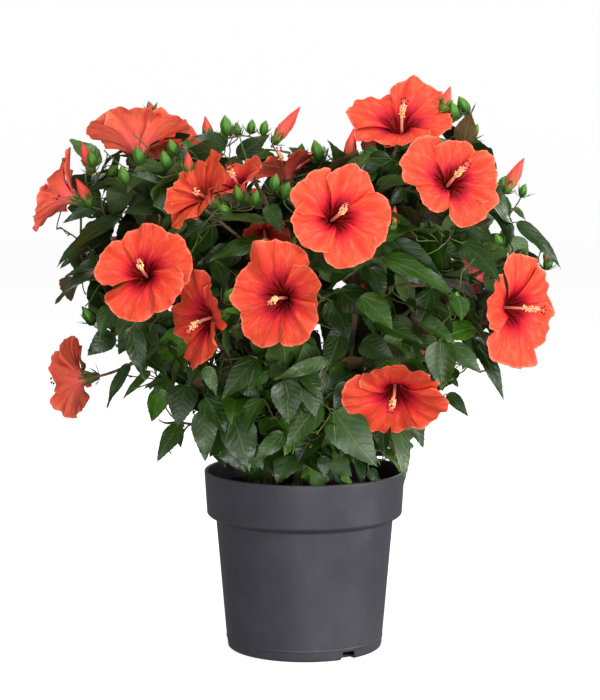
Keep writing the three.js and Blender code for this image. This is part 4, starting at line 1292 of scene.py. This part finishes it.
def blade(bag, p, d, n, length, width, cell, bend=0.4, rows=6, thick=0.5):
    """A small pointed closed blade, such as a bract or a calyx lobe."""
    x, y, z = axes_from(np.asarray(n, float), np.asarray(d, float))
    t = np.linspace(0, 1, rows)
    w = width * np.sin(math.pi * np.clip(t * 0.82 + 0.14, 0, 1)) ** 0.9 * (1 - 0.55 * t**3)
    w[-1] = width * 0.04
    cy = np.sin(bend * t) / max(abs(bend), 1e-3) * np.sign(bend) * length if abs(bend) > 1e-3 else t * length
    cz = -(1 - np.cos(bend * t)) / bend * length if abs(bend) > 1e-3 else 0 * t
    pts = p + cy[:, None] * y + cz[:, None] * z
    ring = []
    for i in range(rows):
        ring.append([pts[i] - x * w[i], pts[i] - z * thick * w[i] * 0.5, pts[i] + x * w[i], pts[i] + z * thick * w[i] * 0.35])
    V = np.array(ring).reshape(-1, 3)
    F, U = [], []
    for i in range(rows - 1):
        for k in range(4):
            a, b = i * 4 + k, i * 4 + (k + 1) % 4
            ua, ub = k / 4, (k + 1) / 4
            va, vb = t[i], t[i + 1]
            F += [[a, b, b + 4], [a, b + 4, a + 4]]
            U += [[(ua, va), (ub, va), (ub, vb)], [(ua, va), (ub, vb), (ua, vb)]]
    e = (rows - 1) * 4
    F += [[0, 3, 2], [0, 2, 1], [e, e + 1, e + 2], [e, e + 2, e + 3]]
    U += [[(0.1, 0.0), (0.2, 0.01), (0.3, 0.0)]] * 2 + [[(0.1, 1.0), (0.2, 0.99), (0.3, 1.0)]] * 2
    U = np.array(U, float)
    bag.add(V, F, cell_uv(U[..., 0], U[..., 1], cell), cell)


def epicalyx(p, d, rng, size=1.0, spread=0.8):
    """Seven thin bracts round the foot of a calyx at p, which looks along d."""
    x, y, z = axes_from(d, np.array([0.2, 0.1, 0.97]))
    for k in range(7):
        a = TAU * k / 7 + rng.uniform(-0.2, 0.2)
        r = x * math.cos(a) + y * math.sin(a)
        out = unit(z * 1.0 + r * spread * rng.uniform(0.7, 1.5))
        blade(green, p + r * 0.0026 * size, out, unit(z - r * 0.6), rng.uniform(0.014, 0.021) * size, 0.0015 * size, 2, bend=rng.uniform(-0.9, 0.1))


def calyx(p, d, rng, size=1.0, length=0.024, flare=0.25, wide=0.0062):
    """A green bell with five pointed lobes."""
    x, y, z = axes_from(d, np.array([0.2, 0.1, 0.97]))
    t = np.linspace(0, 1, 6)
    rr = wide * size * np.array([0.42, 0.80, 0.98, 1.04, 1.05, 1.06])
    tube(green, p + z * (t * 0.013 * size)[:, None], rr, 15, 0, 0, vrange=(0, 0.5))
    for k in range(5):
        a = TAU * k / 5 + rng.uniform(-0.05, 0.05)
        r = x * math.cos(a) + y * math.sin(a)
        blade(green, p + z * 0.0105 * size + r * wide * 0.93 * size, unit(z + r * flare), unit(r - z * 0.2), (length - 0.010) * size, 0.0038 * size, 0, bend=rng.uniform(-0.55, -0.1), rows=6, thick=0.3)


def stalk(p, d, rng, droop=0.010, r=0.0011, reach=0.12):
    """A pedicel from the foot of a calyx at p back to the nearest twig."""
    hp, ht, hr, dist = tree.host(p, 0.3, least=0.006, below=0.6)
    k = min(dist * 0.45, 0.03)
    cv = bezier3(hp, hp + ht * k * 0.15 + (p - hp) * 0.33, p - d * k * 0.55, p + d * 0.001, max(6, int(dist / 0.008)))
    rad = np.linspace(min(r * 1.15, hr), r, len(cv))
    tube(green, cv, rad, 8, 3, 3)
    return cv


for bi, (name, c, f, R, turns, longs, tipv, opening) in enumerate(BLOOMS):
    c, f, tipv = np.array(c), unit(np.array(f)), np.array(tipv)
    ax = axes_from(f, np.array([0.0, 0.0, 1.0]) if abs(f[2]) < 0.85 else np.array([0.0, 1.0, 0.2]))
    k = R / 0.060
    length = 0.0745 * k / lerp(0.70, 1.0, opening)
    top = [0, 1, 2][bi % 3] if name not in ("b4", "b5") else 1
    if name in ("b1", "b3", "b6"):
        top = 0
    for j in range(5):
        petal(petals, c, ax, length * longs[j], opening, math.radians(turns[j]), rng, top, 3 + (bi % 2))
    s0, r0, z0, a0 = bloom_profile(length, opening, 0)
    foot = c + f * (z0[0] - 0.001)
    tip = c + tipv
    # the staminal column
    mid = c + f * 0.012 + tipv * 0.15
    cv = bezier3(foot, foot + f * 0.020, mid, tip, 15)
    tube(hearts, cv, np.linspace(0.0021, 0.00125, 15), 10, 0, 0)
    seg = unit(cv[-1] - cv[-3])
    cx, cy, cz = axes_from(seg, np.array([0.2, 0.3, 0.93]))
    for q in range(54):
        w = rng.uniform(0.64, 0.93)
        p = np.array([np.interp(w, np.linspace(0, 1, 15), cv[:, i]) for i in range(3)])
        a = q * 2.39996
        r = cx * math.cos(a) + cy * math.sin(a)
        ln = rng.uniform(0.0014, 0.0032)
        e = p + unit(r + cz * rng.uniform(0.1, 0.9)) * (ln + 0.0009)
        tube(hearts, np.stack([p, lerp(p, e, 0.6), e]), [0.00022, 0.0002, 0.00018], 3, 0, 0, cap=False)
        blob(hearts, e, (0.00125, 0.00085, 0.00095), r, 1, 1, rng, 0.05)
    for q in range(5):
        a = TAU * q / 5 + 0.3
        r = cx * math.cos(a) + cy * math.sin(a)
        e = tip + cz * 0.0052 + r * 0.0042
        tube(hearts, bezier(tip - cz * 0.001, tip + cz * 0.0036, e, 5), np.linspace(0.0004, 0.0003, 5), 5, 0, 0)
        blob(hearts, e, (0.00165, 0.00165, 0.0013), cz, 2, 2, rng)
    # the floor of the throat, a near-black disc: its colour is partly the eye's own dark crimson and partly painted
    # shade of the deep funnel
    zz = z0 - z0[0]
    rd = float(np.interp(0.0088, zz, r0))
    tube(hearts, foot + f * np.array([0.0070, 0.0082, 0.0088])[:, None], np.array([0.80, 0.96, 1.02]) * rd, 15, 3, 3)
    cal = foot - f * 0.005
    calyx(cal, f, rng, size=0.95, length=0.025 if f[1] > 0 else 0.0185, wide=0.0058, flare=0.25 + 0.42 * opening)
    epicalyx(cal, f, rng)
    stalk(cal, f, rng, r=0.00125)


# ------------------------------------------------------------------ buds
def body(bag, p, d, radii, zs, cell, mat, ribs=0.0, twist=0.0, n=15, count=5):
    a = np.arange(n) / n * TAU
    t = np.linspace(0, 1, len(zs))
    rr = np.array([[r * (1 + ribs * math.cos(count * (ang + twist * w))) for ang in a] for r, w in zip(radii, t)])
    tube(bag, p + np.asarray(d) * np.asarray(zs)[:, None], rr, n, cell, mat)


for kind, rows in BUDS.items():
    for p, q in rows:
        p, q = np.array(p), np.array(q)
        d = unit(q - p)
        ln = float(np.linalg.norm(q - p))
        if kind == "green":
            k = min(1.25, max(0.75, ln / 0.024))
            t = np.linspace(0, 1, 10)
            rr = 0.0050 * k * np.array([0.35, 0.74, 0.94, 1.05, 1.08, 1.03, 0.90, 0.66, 0.36, 0.07])
            body(green, p + d * 0.004 * k, d, rr, t * ln * 0.84, 1, 1, ribs=0.20, twist=0.5)
            epicalyx(p + d * 0.003, d, rng, size=k, spread=0.85)
            stalk(p + d * 0.003, d, rng, r=0.0009)
        else:
            k = ln / 0.036
            t = np.linspace(0, 1, 13)
            rr = 0.0060 * min(1.15, max(0.8, k)) * np.array([0.55, 0.82, 0.98, 1.06, 1.1, 1.08, 1.0, 0.9, 0.76, 0.6, 0.42, 0.24, 0.06])
            body(petals, p + d * 0.004, d, rr, t * (ln - 0.004), 5, 5, ribs=0.07, twist=2.6, n=20)
            calyx(p - d * 0.002, d, rng, size=0.85, length=0.024, wide=0.0066, flare=0.1)
            epicalyx(p - d * 0.002, d, rng, size=0.9)
            stalk(p - d * 0.002, d, rng, r=0.0011)


# ------------------------------------------------------------------ bark on stems and boughs
bark = Bag()


def bark_tube(pts, rad, sides, rng, fine=0.0022, rough=0.055):
    seg = np.linalg.norm(np.diff(pts, axis=0), axis=1)
    run = np.concatenate([[0], np.cumsum(seg)])
    n = max(8, int(run[-1] / fine))
    s = np.linspace(0, run[-1], n)
    P = np.stack([np.interp(s, run, pts[:, i]) for i in range(3)], 1)
    # soften the corners between the control points
    for _ in range(3):
        P[1:-1] = (P[:-2] + 2 * P[1:-1] + P[2:]) / 4
    R = np.interp(s, run, rad)
    a = np.arange(sides) / sides * TAU
    ph = rng.uniform(0, TAU, 8)
    k = s[:, None] * 1000
    g = (
        0.50 * np.sin(3 * a + 0.11 * k + ph[0])
        + 0.35 * np.sin(5 * a - 0.17 * k + ph[1])
        + 0.30 * np.sin(7 * a + 0.9 * k + ph[2])
        + 0.35 * np.sin(2 * a + 0.35 * k + ph[3])
    )
    g = g * rough + rng.normal(size=g.shape) * rough * 0.35
    # leaf scars: a low swelling every 17 mm or so, on alternate sides
    at, j = rng.uniform(6, 14), 0
    while at < run[-1] * 1000 - 4:
        side = ph[4] + j * 2.4
        swell = np.exp(-(((k - at) / 2.2) ** 2)) * (0.10 + 0.22 * np.maximum(0, np.cos(a - side)) ** 3)
        g = g + swell
        at += rng.uniform(13, 22)
        j += 1
    tube(bark, P, R[:, None] * (1 + g), sides, 0, 0)


for name, (p, r) in STEM_CURVES.items():
    bark_tube(p, r, 18, rng)
for name, p, r in BOUGH_CURVES:
    bark_tube(p, r, 12, rng, rough=0.045)


# ------------------------------------------------------------------ pot
def lathe_mesh(name, prof, seg):
    bm = bmesh.new()
    rings = []
    for z, r in prof:
        if r < 1e-6:
            rings.append([bm.verts.new((0, 0, z))])
        else:
            rings.append([bm.verts.new((r * math.cos(TAU * i / seg), r * math.sin(TAU * i / seg), z)) for i in range(seg)])
    for a, b in zip(rings[:-1], rings[1:]):
        for i in range(seg):
            j = (i + 1) % seg
            if len(a) == 1:
                bm.faces.new((a[0], b[i], b[j]))
            elif len(b) == 1:
                bm.faces.new((a[i], b[0], a[j]))
            else:
                bm.faces.new((a[i], b[i], b[j], a[j]))
    bmesh.ops.recalc_face_normals(bm, faces=bm.faces)
    me = bpy.data.meshes.new(name)
    bm.to_mesh(me)
    bm.free()
    ob = bpy.data.objects.new(name, me)
    scene.collection.objects.link(ob)
    return ob


def rounded(prof, radius, steps=4):
    """The profile with each corner cut into a short arc."""
    P = [np.array(p, float) for p in prof]
    out = [P[0]]
    for a, b, c in zip(P[:-2], P[1:-1], P[2:]):
        u, v = a - b, c - b
        lu, lv = np.linalg.norm(u), np.linalg.norm(v)
        k = min(radius, lu * 0.45, lv * 0.45)
        if abs(np.cross(u / lu, v / lv)) < 0.03:
            out.append(b)
            continue
        p0, p2 = b + u / lu * k, b + v / lv * k
        for i in range(steps + 1):
            t = i / steps
            out.append((1 - t) ** 2 * p0 + 2 * t * (1 - t) * b + t * t * p2)
    out.append(P[-1])
    return out


POT = [
    (0, 0), (0, 90), (1.05, 92.1), (3, 93), (11.6, 93.75), (12.4, 94.3), (13.4, 94.3), (14.2, 93.97), (156, 106.2), (160.8, 114.9), (162.8, 116.9), (208.6, 119.7),
    (213.5, 120), (214.9, 118.8), (214.9, 117.4), (213.5, 116.6), (206.9, 116.6), (165.2, 114.5), (158.4, 103.8), (3, 90.6), (3, 0),
]
_prof = rounded([(r / 1000, z / 1000) for z, r in POT], 0.0011)
pot = lathe_mesh("pot_shell", [(z, r) for r, z in _prof], 192)
cutters = []
for deg in (34, 154, 274):
    a = math.radians(deg)
    out = np.array([math.sin(a), -math.cos(a), 0])
    side = np.array([math.cos(a), math.sin(a), 0])
    bm = bmesh.new()
    vs = []
    for dist in (0.081, 0.1):
        for w, z in ((-0.0115, -0.002), (0.0105, -0.002), (0.0080, 0.0102), (-0.0082, 0.0102)):
            vs.append(bm.verts.new(tuple(out * dist + side * w + np.array([0, 0, z]))))
    for q in ((3, 2, 1, 0), (4, 5, 6, 7), (0, 1, 5, 4), (1, 2, 6, 5), (2, 3, 7, 6), (3, 0, 4, 7)):
        bm.faces.new([vs[i] for i in q])
    bmesh.ops.recalc_face_normals(bm, faces=bm.faces)
    me = bpy.data.meshes.new("notch")
    bm.to_mesh(me)
    bm.free()
    ob = bpy.data.objects.new("notch", me)
    scene.collection.objects.link(ob)
    cutters.append(ob)
    mod = pot.modifiers.new("notch", "BOOLEAN")
    mod.operation = "DIFFERENCE"
    mod.solver = "EXACT"
    mod.object = ob
bpy.context.view_layer.update()
_dg = bpy.context.evaluated_depsgraph_get()
_me = bpy.data.meshes.new_from_object(pot.evaluated_get(_dg))
pot.modifiers.clear()
pot.data = _me
for ob in cutters:
    bpy.data.objects.remove(ob)
_me.polygons.foreach_set("use_smooth", np.ones(len(_me.polygons), bool))
_me.set_sharp_from_angle(angle=math.radians(34))
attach(pot, "root")
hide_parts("pot")

# ------------------------------------------------------------------ potting mix
_seg, _rings = 120, 40
_rr = np.linspace(0, 0.1128, _rings)
_ang = np.arange(_seg) / _seg * TAU
_ph = rng.uniform(0, TAU, (14, 2))
_fr = rng.normal(size=(14, 2)) * np.array([90, 90]) * np.linspace(0.35, 2.6, 14)[:, None]
_am = 0.0022 / np.linspace(1, 4.2, 14)


def soil_height(x, y):
    h = 0 * x
    for (a, b), (fx, fy), w in zip(_ph, _fr, _am):
        h = h + w * np.sin(fx * x + a) * np.cos(fy * y + b)
    return SOIL_Z - 0.0015 + h * 0.8


_bm = bmesh.new()
_c = _bm.verts.new((0, 0, float(soil_height(0.0, 0.0))))
_prev = None
_rows = []
for r in _rr[1:]:
    _rows.append([_bm.verts.new((r * math.cos(a), r * math.sin(a), float(soil_height(r * math.cos(a), r * math.sin(a))) + rng.normal() * 0.00035)) for a in _ang])
_rows.append([_bm.verts.new((0.1128 * math.cos(a), 0.1128 * math.sin(a), 0.168)) for a in _ang])
_b = _bm.verts.new((0, 0, 0.168))
for i in range(_seg):
    j = (i + 1) % _seg
    _bm.faces.new((_c, _rows[0][i], _rows[0][j]))
    for a, b in zip(_rows[:-1], _rows[1:]):
        _bm.faces.new((a[i], b[i], b[j], a[j]))
    _bm.faces.new((_rows[-1][i], _b, _rows[-1][j]))
bmesh.ops.recalc_face_normals(_bm, faces=_bm.faces)
_me = bpy.data.meshes.new("mix_surface")
_bm.to_mesh(_me)
_bm.free()
_me.polygons.foreach_set("use_smooth", np.ones(len(_me.polygons), bool))
soil = bpy.data.objects.new("mix_surface", _me)
scene.collection.objects.link(soil)
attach(soil, "root")
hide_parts("potting_mix")

crumbs = Bag()
for _ in range(900):
    r, a = 0.110 * math.sqrt(rng.uniform()), rng.uniform(0, TAU)
    x, y = r * math.cos(a), r * math.sin(a)
    k = rng.uniform(0.0008, 0.0026) * (1.6 if rng.uniform() < 0.12 else 1)
    kind = int(rng.choice(3, p=[0.55, 0.33, 0.12]))
    blob(crumbs, np.array([x, y, float(soil_height(x, y)) + k * 0.3]), (k * rng.uniform(1, 1.9), k, k * rng.uniform(0.5, 0.9)), rng.normal(size=3), kind, kind, rng, 0.14)


# ------------------------------------------------------------------ finishes
def srgb(r, g, b):
    return tuple(((c / 255) / 12.92 if c / 255 <= 0.04045 else ((c / 255 + 0.055) / 1.055) ** 2.4) for c in (r, g, b))


LEAF_MATS = [
    leaf_material("leaf_deep", 0, srgb(16, 38, 3), srgb(28, 56, 7), srgb(66, 94, 28), rough=0.33),
    leaf_material("leaf_mid", 1, srgb(26, 52, 4), srgb(40, 74, 10), srgb(82, 110, 36), rough=0.35),
    leaf_material("leaf_light", 2, srgb(42, 78, 8), srgb(62, 104, 15), srgb(102, 136, 48), rough=0.38),
    leaf_material("leaf_bronze", 3, srgb(42, 38, 12), srgb(60, 52, 18), srgb(100, 86, 44), rough=0.36),
    leaf_material("leaf_under", 4, srgb(52, 72, 30), srgb(70, 90, 44), srgb(102, 120, 70), under=True, rough=0.5),
    leaf_material("leaf_under_red", 5, srgb(82, 62, 36), srgb(98, 78, 46), srgb(132, 110, 70), under=True, rough=0.5),
]
PETAL_MATS = [
    petal_material("petal_face", 0),
    petal_material("petal_face_streaked", 1, throat=1.08, streak=1.0),
    petal_material("petal_face_warm", 2, throat=0.95, warm=0.35),
    petal_material("petal_back", 3, back=True),
    petal_material("petal_back_pale", 4, back=True, warm=0.2),
    tube_material(
        "petal_bud", 5,
        [(0.0, (0.62, 0.16, 0.09)), (0.35, (0.76, 0.10, 0.06)), (0.8, (0.80, 0.07, 0.05)), (1.0, (0.60, 0.03, 0.04))],
        rough=0.5, grain=26, spot=(0.50, 0.03, 0.04), spec=0.3,
    ),
]
HEART_MATS = [
    tube_material("column", 0, [(0.0, (0.45, 0.014, 0.04)), (0.25, (0.80, 0.12, 0.12)), (0.6, (0.97, 0.34, 0.24)), (1.0, (1.0, 0.56, 0.36))], grain=12, relief=0.2, spot=(1.0, 0.50, 0.38)),
    tube_material("anther", 1, [(0.0, (1.0, 0.46, 0.12)), (1.0, (1.0, 0.76, 0.38))], rough=0.8, grain=9, relief=0.4, spec=0.2, spot=(1.0, 0.80, 0.50)),
    tube_material("stigma", 2, [(0.0, (0.24, 0.004, 0.006)), (1.0, (0.38, 0.008, 0.012))], rough=0.7, grain=9, relief=0.6, spec=0.2),
    # near-black throat colour: partly the eye's own dark crimson, partly painted shade of the deep funnel
    tube_material("throat", 3, [(0.0, (0.010, 0.0005, 0.0015)), (1.0, (0.020, 0.0006, 0.002))], rough=0.9, grain=9, relief=0.2, spec=0.0),
]
GREEN_MATS = [
    tube_material("calyx", 0, [(0.0, srgb(52, 92, 24)), (0.5, srgb(82, 128, 38)), (1.0, srgb(108, 140, 52))], grain=18, relief=0.4),
    tube_material("bud_green", 1, [(0.0, srgb(44, 90, 16)), (0.5, srgb(70, 126, 28)), (1.0, srgb(92, 136, 42))], grain=16, relief=0.4),
    tube_material("bract", 2, [(0.0, srgb(52, 84, 34)), (1.0, srgb(84, 104, 48))], grain=14, relief=0.3),
    tube_material("stalk", 3, [(0.0, srgb(78, 62, 34)), (0.4, srgb(88, 84, 40)), (1.0, srgb(86, 104, 44))], grain=14, relief=0.3),
]
TWIG_MATS = [
    tube_material("twig_woody", 0, [(0.0, srgb(98, 76, 54)), (0.6, srgb(96, 80, 52)), (1.0, srgb(86, 88, 46))], rough=0.75, grain=22, relief=0.8, spot=srgb(60, 46, 34), spec=0.25),
    tube_material("twig_green", 1, [(0.0, srgb(92, 80, 48)), (0.5, srgb(84, 92, 44)), (1.0, srgb(84, 110, 46))], rough=0.6, grain=18, relief=0.5, spec=0.3),
]


def bark_material():
    m = Mat("bark")
    p = m.obj()
    big = m.noise(p, 60, 4, 0.6)
    fine = m.noise(p, 520, 4, 0.7)
    c = m.ramp(m.math("MULTIPLY_ADD", fine, 0.5, m.math("MULTIPLY", big, 0.5)), [(0.25, srgb(60, 46, 34)), (0.48, srgb(104, 84, 62)), (0.62, srgb(132, 112, 86)), (0.8, srgb(150, 134, 108))])
    m.set(Base_Color=c, Roughness=m.step(fine, 0.2, 0.8, 0.70, 0.92), Specular_IOR_Level=0.25)
    m.bump(fine, 0.7, 0.0012)
    return m.mat


def pot_material():
    m = Mat("pot_plastic")
    p = m.obj()
    big = m.noise(p, 14, 3, 0.55)
    fine = m.noise(p, 900, 3, 0.6)
    dust = m.noise(p, 60, 4, 0.65)
    c = m.mix(m.step(big, 0.35, 0.7), srgb(56, 55, 62), srgb(63, 62, 69))
    c = m.mix(m.math("MULTIPLY", m.step(dust, 0.5, 0.75), 0.10), c, srgb(96, 95, 96))
    m.set(Base_Color=c, Roughness=m.math("ADD", m.step(dust, 0.3, 0.8, 0.42, 0.52), m.math("MULTIPLY", fine, 0.04)), Specular_IOR_Level=0.3)
    m.bump(fine, 0.12, 0.0004)
    return m.mat


def mix_material():
    m = Mat("mix")
    p = m.obj()
    a = m.noise(p, 260, 5, 0.7)
    b = m.noise(p, 60, 3, 0.6)
    c = m.ramp(m.math("MULTIPLY_ADD", a, 0.65, m.math("MULTIPLY", b, 0.35)), [(0.3, srgb(24, 18, 14)), (0.5, srgb(50, 38, 29)), (0.68, srgb(84, 66, 50)), (0.85, srgb(110, 92, 72))])
    m.set(Base_Color=c, Roughness=m.step(a, 0.2, 0.8, 0.86, 0.98), Specular_IOR_Level=0.15)
    m.bump(a, 1.0, 0.004)
    return m.mat


CRUMB_MATS = [
    tube_material("crumb_dark", 0, [(0.0, srgb(34, 25, 19)), (1.0, srgb(56, 42, 31))], rough=0.9, grain=10, relief=0.9, spec=0.15),
    tube_material("crumb_brown", 1, [(0.0, srgb(70, 50, 34)), (1.0, srgb(104, 78, 54))], rough=0.9, grain=10, relief=0.9, spec=0.15),
    tube_material("crumb_pale", 2, [(0.0, srgb(120, 108, 90)), (1.0, srgb(164, 152, 132))], rough=0.9, grain=10, relief=0.9, spec=0.15),
]
pot.data.materials.clear()
pot.data.materials.append(pot_material())
soil.data.materials.append(mix_material())

leaf_bag.build("leaves", LEAF_MATS, MASSES)
petals.build("petals", PETAL_MATS)
hearts.build("stamens", HEART_MATS)
green.build("calyces_and_stalks", GREEN_MATS)
twigs.build("twigs", TWIG_MATS)
bark.build("boughs", [bark_material()], [n for n in NODES if n.startswith(("stem_", "bough_"))], uv=False)
crumbs.build("mix_crumbs", CRUMB_MATS)
print("triangles", {"leaves": leaf_bag.faces(), "petals": petals.faces(), "stamens": hearts.faces(), "green": green.faces(), "twigs": twigs.faces(), "bark": bark.faces(), "crumbs": crumbs.faces()})

# ------------------------------------------------------------------ studio
_bowl = [(0.0, 0.0)] + [(r, 0.0) for r in (1.0, 3.0, 5.0, 6.2)] + [(6.2 + 2.0 * math.sin(a), 2.0 - 2.0 * math.cos(a)) for a in np.linspace(0.12, math.pi / 2, 14)] + [(8.2, 4.0), (8.2, 9.0)]
sweep = lathe_mesh("sweep", [(z, r) for r, z in _bowl], 96)
for p in sweep.data.polygons:
    p.use_smooth = True
_m = Mat("sweep")
_m.set(Base_Color=(0.55, 0.55, 0.55), Roughness=0.9, Specular_IOR_Level=0.1, Emission_Color=(1.0, 1.0, 1.0), Emission_Strength=0.8)
sweep.data.materials.append(_m.mat)
sweep.visible_diffuse = False
sweep.visible_glossy = False

world = bpy.data.worlds.new("studio")
scene.world = world
world.use_nodes = True
_bg = next(n for n in world.node_tree.nodes if n.type == "BACKGROUND")
_bg.inputs[0].default_value = (1, 1, 1, 1)
_bg.inputs[1].default_value = 0.28


def area(name, at, look, size, power, colour=(1, 1, 1)):
    d = bpy.data.lights.new(name, "AREA")
    d.shape = "RECTANGLE"
    d.size, d.size_y = size
    d.energy = power
    d.color = colour
    ob = bpy.data.objects.new(name, d)
    ob.location = at
    ob.rotation_euler = (Vector(look) - Vector(at)).to_track_quat("-Z", "Y").to_euler()
    scene.collection.objects.link(ob)
    return ob


area("key", (1.7, -1.9, 1.5), (0, 0, 0.38), (0.65, 0.65), 36, (1.0, 0.985, 0.96))
area("fill", (-1.2, -2.3, 0.9), (0, 0, 0.42), (1.0, 1.0), 14, (0.98, 0.985, 1.0))
area("side", (2.4, -0.9, 0.35), (0, 0, 0.10), (0.7, 0.5), 40)
area("low", (0.2, -2.3, 0.20), (0, 0, 0.58), (0.9, 0.4), 28)
area("back", (1.3, 2.2, 1.1), (0, 0, 0.35), (1.0, 1.0), 12)
area("top", (0.1, -0.3, 2.4), (0, 0, 0.4), (1.0, 1.0), 26)
area("rim", (-0.9, 1.9, 1.7), (0, 0, 0.45), (1.0, 1.0), 14)

cam = bpy.data.cameras.new("camera")
cam_ob = bpy.data.objects.new("camera", cam)
cam_ob.location = (-0.0054, -2.7633, 0.6803)
cam_ob.rotation_euler = (math.pi / 2 - 0.1161, 0, 0)
cam.lens = 2334 * 36 / 700
cam.sensor_width = 36
cam.sensor_fit = "AUTO"
cam.clip_start, cam.clip_end = 0.05, 60
scene.collection.objects.link(cam_ob)
scene.camera = cam_ob
scene.view_settings.view_transform = "Standard"
scene.view_settings.look = "None"
